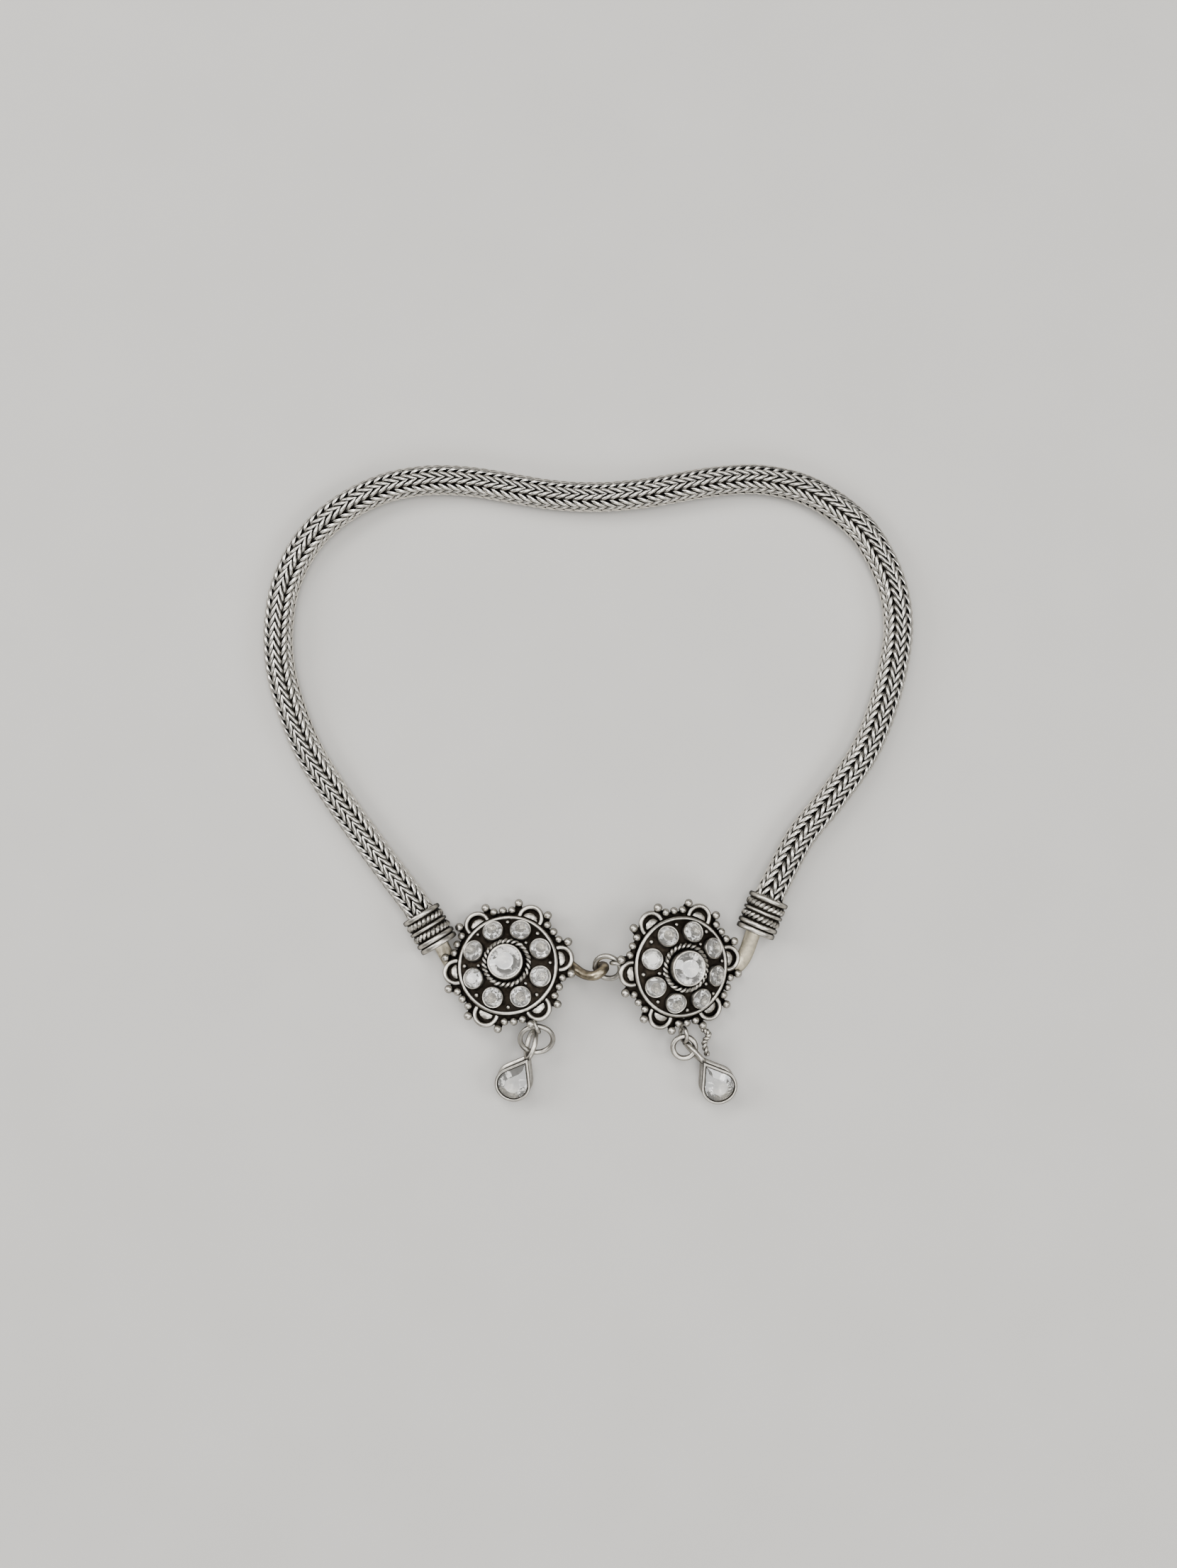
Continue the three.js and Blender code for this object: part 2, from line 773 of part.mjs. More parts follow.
function dropSetting(side) {
  const { along, centre, normal } = bailFrame(side);
  const place = pearMatrix(side);
  const body = loft(
    pearSections.map(({ height, inset }) => pearOutline(inset * pearWaist, height * pearDepth)),
  );
  const hollow = loft([
    pearOutline(pearRim, pearDepth - pearPocket),
    pearOutline(pearRim, pearDepth + pearPocket),
  ]);
  const long = frameAt(centre, normal, along);
  const loop = ellipseRing(bailHalfLength, bailHalfWidth, bailWire / 2).applyMatrix4(long);
  const shell = solid(body.applyMatrix4(place)).subtract(solid(hollow.applyMatrix4(place)));
  return named(side.name + "_drop_setting", shell.add(solid(loop)), silver);
}

// Oval ring whose wire keeps its thickness all the way round.
function ellipseRing(long, wide, wireRadius) {
  const geometry = new THREE.TorusGeometry(1, wireRadius, wireSides, ringSteps);
  const position = geometry.getAttribute("position");
  for (let i = 0; i < position.count; i++) {
    const [x, y] = [position.getX(i), position.getY(i)];
    const size = Math.hypot(x, y);
    const out = size - 1;
    position.setXY(i, (x / size) * (long + out), (y / size) * (wide + out));
  }
  return geometry;
}

function dropStone(side) {
  const inset = pearRim + pearStoneClearance;
  const girdle = pearDepth - pearPocket / 4;
  const gem = loft([
    pearOutline(inset + pearRadius * 0.62, pearDepth - pearPocket + pearStoneClearance),
    pearOutline(inset, girdle),
    pearOutline(inset + pearRadius * 0.36, girdle + pearCrown),
  ]);
  return named(side.name + "_drop_stone", gem.applyMatrix4(pearMatrix(side)), stone);
}

const anklet = new THREE.Group();
anklet.add(wovenChain());
for (const side of [leftSide, rightSide]) {
  anklet.add(endCap(side));
  anklet.add(named(side.name + "_rosette", rosette(side), silver));
  anklet.add(...rosetteStones(side));
  anklet.add(jumpRing(side), dropSetting(side), dropStone(side));
}
anklet.add(claspHook(), claspRing());

export default anklet;
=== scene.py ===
import math
import random
import bmesh
import bpy
from mathutils import Matrix, Quaternion, Vector


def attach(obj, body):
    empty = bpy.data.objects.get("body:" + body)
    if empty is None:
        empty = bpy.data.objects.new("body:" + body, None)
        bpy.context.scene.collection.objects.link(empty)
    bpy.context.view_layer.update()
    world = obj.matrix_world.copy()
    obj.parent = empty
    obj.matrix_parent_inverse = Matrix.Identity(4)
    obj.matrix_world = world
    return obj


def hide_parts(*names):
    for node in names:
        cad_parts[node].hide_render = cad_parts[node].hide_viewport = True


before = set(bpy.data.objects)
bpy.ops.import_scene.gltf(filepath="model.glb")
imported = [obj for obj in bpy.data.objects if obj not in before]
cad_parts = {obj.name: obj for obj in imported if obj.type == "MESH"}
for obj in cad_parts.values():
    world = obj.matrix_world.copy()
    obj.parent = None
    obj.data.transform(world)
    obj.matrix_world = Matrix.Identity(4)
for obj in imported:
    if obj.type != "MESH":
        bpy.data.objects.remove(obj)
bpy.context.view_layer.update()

# Payal anklet seen from straight above. Lengths are in millimetres until a piece is finished.
mm = 0.001
tiny = 1e-6
weldDistance = 1e-4  # points of one part that lie nearer than this become one
up = Vector((0, 0, 1))
random.seed(11)


def polar(radius, angle, height=0.0):
    turn = math.radians(angle)
    return Vector((radius * math.cos(turn), radius * math.sin(turn), height))


def direction(heading, slope=0.0):
    rise = math.radians(slope)
    return polar(math.cos(rise), heading, math.sin(rise))


def jitter(most):
    return random.uniform(-most, most)


def frameAt(origin, axis, hint):
    z = axis.normalized()
    x = (hint - z * hint.dot(z)).normalized()
    y = z.cross(x)
    turned = Matrix((x, y, z)).transposed().to_4x4()
    return Matrix.Translation(origin) @ turned


def smoothRoute(points, each):
    # a rounded line through the points, with `each` steps between two of them, eased by the root of
    # each gap so that a short gap beside a long one doesn't bulge
    ends = [points[0] * 2 - points[1]] + points + [points[-1] * 2 - points[-2]]
    line = []
    for before, start, end, after in zip(ends, ends[1:], ends[2:], ends[3:]):
        gaps = [max((b - a).length, tiny) ** 0.5 for a, b in ((before, start), (start, end), (end, after))]
        first = (start - before) / gaps[0] - (end - before) / (gaps[0] + gaps[1]) + (end - start) / gaps[1]
        last = (end - start) / gaps[1] - (after - start) / (gaps[1] + gaps[2]) + (after - end) / gaps[2]
        first, last = first * gaps[1], last * gaps[1]
        for i in range(each):
            t = i / each
            line.append(
                start * (2 * t**3 - 3 * t**2 + 1) + end * (3 * t**2 - 2 * t**3)
                + first * (t**3 - 2 * t**2 + t) + last * (t**3 - t**2)
            )
    return line + [points[-1]]


cap = {
    "length": 5.4, "wall": 0.65, "socket": 4.2, "socketRadius": 2.25, "lead": 1.5, "rise": 14.0,
    "sides": 72, "floorShare": 0.45, "softEdge": 0.12, "endPlate": 0.1,
    "ridgeSteps": 8, "ridgeRound": 0.55, "ridgeSink": 0.1, "ridgeOverlap": 0.02,
    # a rope starts ropeShift degrees further round for each mm up the cap, so that no two line up
    "rope": {"ring": 2.34, "turns": 11, "strand": 0.29, "spread": 0.27, "steps": 16}, "ropeShift": 40,
}
capRadius = cap["socketRadius"] + cap["wall"]

# ears are the loops at a rosette's edge, the drop's first and then the clasp's: angle, reach, how far below
leftSide = {
    "name": "left", "capMouth": (-23.68, -18.1), "capHeading": -59, "centre": (-11.2, -25.65),
    "height": 3.15, "tilt": 17, "lean": 112, "turn": 7, "petalTurn": 24,
    "strapAngle": 189, "strapLeave": 2.4, "strapEnter": 3.2,
    "ears": [(-64.5, 9.2, 0.4), (5, 6.6, 0.8)],
    "ring": {"radius": 2.3, "wire": 0.7, "heading": -88, "slope": 32, "passes": 0.12, "steps": 60},
    "bail": {"at": -28, "heading": -103, "slope": 15, "roll": 30, "offset": 1.05},
    "pear": {"heading": -120, "tilt": 19},
}
rightSide = {
    "name": "right", "capMouth": (25.44, -15.98), "capHeading": -112.7, "centre": (12.6, -25.55),
    "height": 4.1, "tilt": 22, "lean": 0, "turn": 7, "petalTurn": 30,
    "strapAngle": -9, "strapLeave": 3.0, "strapEnter": 4.6,
    "ears": [(-84, 9.7, 0.4), (176, 8.7, 1.0)],
    "ring": {"radius": 1.58, "wire": 0.75, "heading": -88, "slope": 10, "passes": 0.28, "steps": 60},
    "bail": {"at": 62, "heading": -44, "slope": 30, "roll": 12, "offset": 1.95},
    "pear": {"heading": -58, "tilt": 19},
    # twisted wire soldered to a bead, hanging beside the drop
    "strand": {"points": [(16.0, -34.4, 3.2), (16.9, -35.2, 3.2), (16.3, -36.3, 3.0), (16.7, -38.2, 2.9)],
               "spread": 0.2, "wire": 0.46, "turns": 4, "steps": 20},
}
bothSides = (leftSide, rightSide)


def capPoint(side, distance):
    return Vector((*side["capMouth"], capRadius)) + direction(side["capHeading"]) * distance


def rosetteMatrix(side):
    normal = direction(side["lean"], 90 - side["tilt"])
    turned = up.rotation_difference(normal).to_matrix().to_4x4()
    return Matrix.Translation((*side["centre"], side["height"])) @ turned


def linearColour(code):
    values = [int(code[i:i + 2], 16) / 255 for i in (1, 3, 5)]
    return [v / 12.92 if v <= 0.04045 else ((v + 0.055) / 1.055) ** 2.4 for v in values] + [1.0]


def addNode(tree, kind, sockets=None, **settings):
    node = tree.nodes.new(kind)
    for name, value in settings.items():
        setattr(node, name, value)
    for name, value in (sockets or {}).items():
        if isinstance(value, bpy.types.NodeSocket):
            tree.links.new(value, node.inputs[name])
        else:
            node.inputs[name].default_value = value
    return node


# colour sockets of a Mix node: two inputs and the result
mixLow, mixHigh, mixResult = 6, 7, 2


def emptyMaterial(name):
    material = bpy.data.materials.new(name)
    material.use_nodes = True
    material.node_tree.nodes.clear()
    return material, material.node_tree


def silverFinish(name, look):
    material, tree = emptyMaterial(name)
    place = addNode(tree, "ShaderNodeTexCoord").outputs["Object"]
    # oxide stays in the hollows
    recess = addNode(tree, "ShaderNodeAmbientOcclusion", {"Distance": look["recessDepth"] * mm},
                     samples=8, only_local=True).outputs["AO"]
    rubbed = addNode(tree, "ShaderNodeMapRange", {
        "Value": recess, "From Min": look["blackBelow"], "From Max": look["brightAbove"],
    }, clamp=True).outputs["Result"]
    # uneven rubbing
    blotch = addNode(tree, "ShaderNodeTexNoise", {
        "Vector": place, "Scale": 1000 / look["blotchSize"], "Detail": 4.0, "Roughness": 0.6,
    }).outputs["Fac"]
    patchy = addNode(tree, "ShaderNodeMapRange", {
        "Value": blotch, "From Min": 0.3, "From Max": 0.62, "To Min": look["blotchLow"], "To Max": 1.0,
    }, clamp=True).outputs["Result"]
    # painted shade and dark reflection: faces turned away from straight up are darkened, standing in for the
    # dark edges round every wire and bead
    faced = addNode(tree, "ShaderNodeSeparateXYZ", {
        "Vector": addNode(tree, "ShaderNodeTexCoord").outputs["Normal"],
    }).outputs["Z"]
    sideShadeFactor = addNode(tree, "ShaderNodeMapRange", {
        "Value": faced, "From Min": look["darkBelow"], "From Max": look["unshadedAbove"],
        "To Min": look["shadedSideShare"], "To Max": 1.0,
    }, clamp=True).outputs["Result"]
    clean = addNode(tree, "ShaderNodeMath", {0: rubbed, 1: patchy}, operation="MULTIPLY").outputs["Value"]
    shown = addNode(tree, "ShaderNodeMath", {0: clean, 1: sideShadeFactor}, operation="MULTIPLY").outputs["Value"]
    # the dark colour is the oxide in the hollows and also the painted shade on the sides
    colour = addNode(tree, "ShaderNodeMix", {
        "Factor": shown, mixLow: linearColour(look["oxideAndShade"]), mixHigh: linearColour(look["silver"]),
    }, data_type="RGBA").outputs[mixResult]
    rough = addNode(tree, "ShaderNodeMapRange", {
        "Value": shown, "To Min": look["oxideRough"], "To Max": look["silverRough"],
    }, clamp=True).outputs["Result"]
    # sandy skin
    grain = addNode(tree, "ShaderNodeTexNoise", {
        "Vector": place, "Scale": 1000 / look["grainSize"], "Detail": 3.0, "Roughness": 0.65,
    }).outputs["Fac"]
    bump = addNode(tree, "ShaderNodeBump", {
        "Height": grain, "Strength": look["grainStrength"], "Distance": look["grainDepth"] * mm,
    }).outputs["Normal"]
    surface = addNode(tree, "ShaderNodeBsdfPrincipled", {
        "Base Color": colour, "Roughness": rough, "Normal": bump, "Metallic": 1.0,
    })
    addNode(tree, "ShaderNodeOutputMaterial", {"Surface": surface.outputs["BSDF"]})
    return material


# sterling silver wire, oxidised and polished: black between the stitches, warm white on top, and painted
# shade on the wires' sides
wovenSilver = silverFinish("oxidisedWireSilver", {
    "oxideAndShade": "#15110e", "silver": "#f3eee4", "recessDepth": 0.6, "blackBelow": 0.56, "brightAbove": 0.9,
    "blotchSize": 1.6, "blotchLow": 0.72, "oxideRough": 0.55, "silverRough": 0.23,
    "grainSize": 0.12, "grainStrength": 0.25, "grainDepth": 0.02,
    "darkBelow": -0.5, "unshadedAbove": 0.3, "shadedSideShare": 0.35,
})
# cast sterling silver, oxidised and rubbed: grey-white highs with a fine sandy skin, and sides painted near
# black as shade
castSilver = silverFinish("rubbedOxidisedSilver", {
    "oxideAndShade": "#15110d", "silver": "#e2dcd0", "recessDepth": 1.0, "blackBelow": 0.4, "brightAbove": 0.82,
    "blotchSize": 0.7, "blotchLow": 0.68, "oxideRough": 0.55, "silverRough": 0.34,
    "grainSize": 0.16, "grainStrength": 0.45, "grainDepth": 0.03,
    "darkBelow": 0.3, "unshadedAbove": 0.72, "shadedSideShare": 0.03,
})
# plain sheet of the same silver that closes the caps: little painted side shade, so its upright end stays
# light, and little grain
plateSilver = silverFinish("rubbedPlateSilver", {
    "oxideAndShade": "#1a1511", "silver": "#eae5da", "recessDepth": 0.5, "blackBelow": 0.35, "brightAbove": 0.8,
    "blotchSize": 0.9, "blotchLow": 0.8, "oxideRough": 0.55, "silverRough": 0.3,
    "grainSize": 0.16, "grainStrength": 0.3, "grainDepth": 0.02,
    "darkBelow": -0.6, "unshadedAbove": 0.3, "shadedSideShare": 0.08,
})
# the same silver where the oxide was left on: the near-black ground between the stones; the same near-black
# is also painted as shade in the chain's core and in the gap round the drop stones
blackSilverAndShade = silverFinish("blackenedSilverAndShade", {
    "oxideAndShade": "#0d0a08", "silver": "#352f28", "recessDepth": 0.5, "blackBelow": 0.3, "brightAbove": 0.95,
    "blotchSize": 0.8, "blotchLow": 0.2, "oxideRough": 0.7, "silverRough": 0.5,
    "grainSize": 0.2, "grainStrength": 0.5, "grainDepth": 0.04,
    "darkBelow": 0.0, "unshadedAbove": 0.8, "shadedSideShare": 0.3,
})
# flat strap that was brushed and hardly oxidised: brighter and yellower than the cast parts, with painted
# shade on its edges
brushedSilver = silverFinish("brushedStrapSilver", {
    "oxideAndShade": "#5a5140", "silver": "#ddd2b8", "recessDepth": 0.5, "blackBelow": 0.2, "brightAbove": 0.6,
    "blotchSize": 0.7, "blotchLow": 0.5, "oxideRough": 0.5, "silverRough": 0.33,
    "grainSize": 0.14, "grainStrength": 0.5, "grainDepth": 0.03,
    "darkBelow": 0.0, "unshadedAbove": 0.6, "shadedSideShare": 0.2,
})
# worn hook: the polish has gone and a warm brown tarnish shows, and its sides are painted dark as shade
wornSilver = silverFinish("wornHookSilver", {
    "oxideAndShade": "#2b2017", "silver": "#d2c3a6", "recessDepth": 0.6, "blackBelow": 0.3, "brightAbove": 0.75,
    "blotchSize": 0.8, "blotchLow": 0.45, "oxideRough": 0.5, "silverRough": 0.34,
    "grainSize": 0.18, "grainStrength": 0.5, "grainDepth": 0.03,
    "darkBelow": 0.25, "unshadedAbove": 0.8, "shadedSideShare": 0.05,
})
# bright foil under the stones: throws the light back up through them
foilSilver = silverFinish("brightFoil", {
    "oxideAndShade": "#b9b5ab", "silver": "#f4f1ea", "recessDepth": 0.3, "blackBelow": 0.0, "brightAbove": 0.05,
    "blotchSize": 0.5, "blotchLow": 0.5, "oxideRough": 0.3, "silverRough": 0.18,
    "grainSize": 0.42, "grainStrength": 1.0, "grainDepth": 0.15,
    "darkBelow": -0.9, "unshadedAbove": 0.0, "shadedSideShare": 1.0,
})


def stoneFinish(name, look):
    material, tree = emptyMaterial(name)
    place = addNode(tree, "ShaderNodeTexCoord").outputs["Object"]
    haze = addNode(tree, "ShaderNodeTexNoise", {
        "Vector": place, "Scale": 1000 / look["hazeSize"], "Detail": 3.0,
    }).outputs["Fac"]
    colour = addNode(tree, "ShaderNodeMix", {
        "Factor": haze, mixLow: linearColour(look["dull"]), mixHigh: linearColour(look["clear"]),
    }, data_type="RGBA").outputs[mixResult]
    rough = addNode(tree, "ShaderNodeMapRange", {
        "Value": haze, "To Min": look["roughLow"], "To Max": look["roughHigh"],
    }, clamp=True).outputs["Result"]
    surface = addNode(tree, "ShaderNodeBsdfPrincipled", {
        "Base Color": colour, "Roughness": rough, "IOR": look["ior"],
        "Transmission Weight": look["through"], "Metallic": 0.0,
    })
    addNode(tree, "ShaderNodeOutputMaterial", {"Surface": surface.outputs["BSDF"]})
    return material


# machine cut cubic zirconia: colourless, its facets flash white or go dark
zirconia = stoneFinish("cutZirconia", {
    "dull": "#d9d6cf", "clear": "#f6f4ef", "hazeSize": 0.5, "roughLow": 0.02, "roughHigh": 0.1,
    "ior": 2.16, "through": 0.85,
})


def toMesh(shape, name):
    mesh = bpy.data.meshes.new(name)
    shape.to_mesh(mesh)
    shape.free()
    return mesh


def addObject(name, data):
    thing = bpy.data.objects.new(name, data)
    bpy.context.scene.collection.objects.link(thing)
    return thing


def joinPart(shape, part, place=None, index=0, mend=True):
    # one part, closed and turned outwards, goes in its place in the whole shape
    if mend:
        bmesh.ops.remove_doubles(part, verts=part.verts, dist=weldDistance)
        bmesh.ops.recalc_face_normals(part, faces=part.faces)
    if place is not None:
        bmesh.ops.transform(part, matrix=place, verts=part.verts)
    for face in part.faces:
        face.material_index = index
    mesh = toMesh(part, "part")
    shape.from_mesh(mesh)
    bpy.data.meshes.remove(mesh)


def addCopy(shape, mesh, place):
    part = bmesh.new()
    part.from_mesh(mesh)
    joinPart(shape, part, place, mend=False)


def addWires(shape, paths, radius, sides, closed=False, place=None, swells=None):
    curve = bpy.data.curves.new("wire", "CURVE")
    curve.dimensions = "3D"
    curve.bevel_depth = radius
    curve.bevel_resolution = (sides - 4) // 2  # a resolution of r gives 2 r + 4 sides
    curve.use_fill_caps = not closed
    for path in paths:
        spline = curve.splines.new("POLY")
        spline.points.add(len(path) - 1)
        for i, spot in enumerate(path):
            spline.points[i].co = (*spot, 1)
            spline.points[i].radius = swells[i] if swells else 1
        spline.use_cyclic_u = closed
    thing = addObject("wire", curve)
    mesh = bpy.data.meshes.new_from_object(thing)
    part = bmesh.new()
    part.from_mesh(mesh)
    bpy.data.objects.remove(thing)
    bpy.data.curves.remove(curve)
    bpy.data.meshes.remove(mesh)
    joinPart(shape, part, place)


def circlePath(radius, steps, height=0.0, sweep=360.0, start=0.0):
    count = steps if sweep == 360 else steps + 1
    return [polar(radius, start + i * sweep / steps, height) for i in range(count)]


def addWireRing(shape, radius, wire, steps, place, sides=12, height=0.0):
    addWires(shape, [circlePath(radius, steps, height)], wire / 2, sides, True, place)


def addTurned(shape, profile, sides, place, index=0):
    # a profile of (radius, height) spun round Z
    part = bmesh.new()
    verts = [part.verts.new((radius, 0, height)) for radius, height in profile]
    edges = [part.edges.new(pair) for pair in zip(verts, verts[1:])]
    bmesh.ops.spin(part, geom=verts + edges, cent=(0, 0, 0), axis=(0, 0, 1), angle=math.tau,
                   steps=sides, use_merge=True)
    joinPart(shape, part, place, index)


def addBall(shape, centre, radius, place=None, across=14, down=9):
    part = bmesh.new()
    bmesh.ops.create_uvsphere(part, u_segments=across, v_segments=down, radius=1)
    bmesh.ops.scale(part, vec=(radius, radius, radius), verts=part.verts)
    bmesh.ops.translate(part, vec=centre, verts=part.verts)
    joinPart(shape, part, place, mend=False)


def addRings(shape, rings, place=None, index=0, hollow=False):
    # closed loops of points, each bridged to the next, with a face over both ends or the ends joined;
    # no two neighbours lie at one height, because a flat pair can be bridged crosswise
    part = bmesh.new()
    loops = []
    for ring in rings:
        verts = [part.verts.new(spot) for spot in ring]
        loops.append([part.edges.new(pair) for pair in zip(verts, verts[1:] + verts[:1])])
    for low, high in zip(loops, loops[1:]):
        bmesh.ops.bridge_loops(part, edges=low + high)
    if hollow:
        bmesh.ops.bridge_loops(part, edges=loops[-1] + loops[0])
    else:
        bmesh.ops.contextual_create(part, geom=loops[0])
        bmesh.ops.contextual_create(part, geom=loops[-1])
    joinPart(shape, part, place, index)


def addRope(shape, rope, height, place, start=0.0):
    # two strands twisted round each other into a ring
    count = rope["turns"] * rope["steps"]
    paths = []
    for half in (0, 180):
        path = []
        for i in range(count):
            twist = math.radians(half + i * 360 / rope["steps"])
            reach = rope["ring"] + rope["spread"] * math.cos(twist)
            path.append(polar(reach, start + i * 360 / count, height + rope["spread"] * math.sin(twist)))
        paths.append(path)
    addWires(shape, paths, rope["strand"], sides=6, closed=True, place=place)


def addTwist(shape, strand):
    # two strands twisted round each other along a line
    line = smoothRoute([Vector(spot) for spot in strand["points"]], strand["steps"])
    paths = []
    for half in (0, 180):
        path = []
        for i, spot in enumerate(line):
            along = line[min(i + 1, len(line) - 1)] - line[max(i - 1, 0)]
            twist = half + i * strand["turns"] * 360 / len(line)
            path.append(frameAt(spot, along, up) @ polar(strand["spread"], twist))
        paths.append(path)
    addWires(shape, paths, strand["wire"] / 2, sides=8)


def finishPiece(name, shape, materials, nodes, sharp=40.0):
    # edges turned by more than `sharp` degrees stay crisp, and 0 leaves every facet flat
    bmesh.ops.scale(shape, vec=(mm, mm, mm), verts=shape.verts)
    mesh = toMesh(shape, name)
    for material in materials:
        mesh.materials.append(material)
    for face in mesh.polygons:
        face.use_smooth = sharp > 0
    if sharp > 0:
        mesh.set_sharp_from_angle(angle=math.radians(sharp))
    piece = addObject(name, mesh)
    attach(piece, "root")
    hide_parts(*nodes)


chain = {
    "radius": 2.12, "wire": 0.235, "wireSides": 6, "pitch": 1.27, "columns": 6, "restHeight": 2.045,
    "coreRadius": 1.4, "coreSides": 12, "coreSections": 260, "inside": 3.9, "endMargin": 2,
    "routeSteps": 40, "unevenness": 1.5,
    # half a stitch from its hidden foot to the bend: degrees round, mm along, mm deep, thickness
    "stitch": [(-30, -1.4, 1.0, 0.5), (-26.5, -1.0, 0.55, 0.75), (-21, -0.5, 0.08, 1.02),
               (-12.5, 0.15, 0.0, 1.12), (-5, 0.75, 0.03, 1.0), (0, 1.2, 0.14, 0.9)],
    # how far round the top ridge lies: share of the length, degrees towards the middle of the loop
    "twists": [(0, 0), (0.08, -1), (0.18, -14), (0.35, -4), (0.5, -5), (0.67, -17), (0.78, -8), (1, -13)],
}
# centreline from the left cap round to the right cap, in metres, as the frame has it
chainRoute = [
    (-0.0270, -0.0135), (-0.0315, -0.0075), (-0.0357, -0.0015), (-0.0394, 0.0045), (-0.0419, 0.0105),
    (-0.0435, 0.0165), (-0.0437, 0.0225), (-0.0426, 0.0285), (-0.0394, 0.0345), (-0.0351, 0.0385),
    (-0.0291, 0.0416), (-0.0231, 0.0428), (-0.0171, 0.0427), (-0.0051, 0.0408), (0.0009, 0.0405),
    (0.0069, 0.0409), (0.0189, 0.0428), (0.0249, 0.0429), (0.0309, 0.0414), (0.0369, 0.0376),
    (0.0397, 0.0345), (0.0427, 0.0285), (0.0437, 0.0225), (0.0430, 0.0165), (0.0414, 0.0105),
    (0.0389, 0.0045), (0.0347, -0.0015), (0.0299, -0.0075), (0.0266, -0.0135),
]


def chainSpot(x, y):
    # the chain lies on the surface and lifts to a cap's height near its mouth
    away = min(math.hypot(x - side["capMouth"][0], y - side["capMouth"][1]) for side in bothSides)
    share = min(max(1 - away / cap["rise"], 0), 1)
    share = share * share * (3 - 2 * share)
    return Vector((x, y, chain["restHeight"] + (capRadius - chain["restHeight"]) * share))


def chainLine():
    middle = [chainSpot(x / mm, y / mm) for x, y in chainRoute]
    ends = (chain["inside"], 0, -cap["lead"])
    points = [capPoint(leftSide, d) for d in ends] + middle + [capPoint(rightSide, d) for d in reversed(ends)]
    return smoothRoute(points, chain["routeSteps"])


def chainTwist(share):
    for (start, first), (end, last) in zip(chain["twists"], chain["twists"][1:]):
        if share <= end:
            return first + (last - first) * (share - start) / (end - start)
    return last


def stitchRow():
    # one stitch for each column, all round the chain
    half = chain["stitch"]
    path = half + [(-turn, along, deep, thick) for turn, along, deep, thick in reversed(half[:-1])]
    reach = chain["radius"] - chain["wire"]
    spots = [polar(reach - deep, turn, along) for turn, along, deep, thick in path]
    stitch, ring = bmesh.new(), bmesh.new()
    addWires(stitch, [spots], chain["wire"], chain["wireSides"], swells=[thick for *place, thick in path])
    single = toMesh(stitch, "stitch")
    for column in range(chain["columns"]):
        addCopy(ring, single, Matrix.Rotation(math.tau * column / chain["columns"], 4, "Z"))
    bpy.data.meshes.remove(single)
    return toMesh(ring, "row")


def makeChain():
    line = chainLine()
    lengths = [0.0]
    for a, b in zip(line, line[1:]):
        lengths.append(lengths[-1] + (b - a).length)

    def chainFrame(distance):
        i = next((k for k, d in enumerate(lengths) if d >= distance), len(lengths) - 1)
        i = max(i, 1)
        part = (distance - lengths[i - 1]) / (lengths[i] - lengths[i - 1])
        spot = line[i - 1].lerp(line[i], part)
        along = (line[min(i + 1, len(line) - 1)] - line[max(i - 2, 0)]).normalized()
        return frameAt(spot, along, up)

    shape = bmesh.new()
    row = stitchRow()
    total = lengths[-1]
    clear = total - 2 * chain["endMargin"]
    rows = round(clear / chain["pitch"])
    for i in range(rows):
        distance = chain["endMargin"] + i * clear / (rows - 1)
        turn = chainTwist(distance / total) + jitter(chain["unevenness"])
        lean = Matrix.Rotation(math.radians(turn), 4, "Z")
        addCopy(shape, row, chainFrame(distance) @ lean)
    bpy.data.meshes.remove(row)
    # a black core fills the chain behind its stitches: it stands in for the hidden inner loops, and its black
    # is painted shade
    sections = []
    corners = [polar(chain["coreRadius"], k * 360 / chain["coreSides"]) for k in range(chain["coreSides"])]
    for i in range(chain["coreSections"] + 1):
        place = chainFrame(total * i / chain["coreSections"])
        sections.append([place @ corner for corner in corners])
    addRings(shape, sections, index=1)
    finishPiece("chain_weave", shape, [wovenSilver, blackSilverAndShade], ["woven_chain"], 60)


makeChain()
print("chain woven")


capBands = [  # kind, share of the length, and a ridge's reach over the socket as a share of the wall
    ("ridge", 0.13, 1.0), ("groove", 0.02, 0), ("rope", 0.205, 0), ("groove", 0.02, 0),
    ("ridge", 0.09, 0.97), ("groove", 0.02, 0), ("rope", 0.205, 0), ("groove", 0.02, 0),
    ("ridge", 0.13, 1.0), ("groove", 0.02, 0), ("ridge", 0.14, 0.88),
]
strapBand = {
    "width": 2.1, "thickness": 0.45, "edge": 0.1, "lift": 0.1, "start": 1.0, "inset": 0.3,
    "bar": 0.6, "barRoom": 0.12, "barReach": 5.2, "barSpare": 0.3, "curl": 270, "curlSteps": 18,
    "steps": 24, "nudge": 0.01,
}
strapHeight = strapBand["lift"] + strapBand["thickness"] / 2
curlRadius = strapBand["bar"] / 2 + strapBand["barRoom"] + strapBand["thickness"] / 2


def barPlace(side):
    # middle of the bar behind the rosette that the strap curls round
    return (Vector((*side["centre"], strapHeight + curlRadius))
            + direction(side["strapAngle"]) * strapBand["barReach"])


def bezier(points, t):
    a, b, c, d = points
    return a * (1 - t)**3 + b * 3 * t * (1 - t)**2 + c * 3 * t**2 * (1 - t) + d * t**3


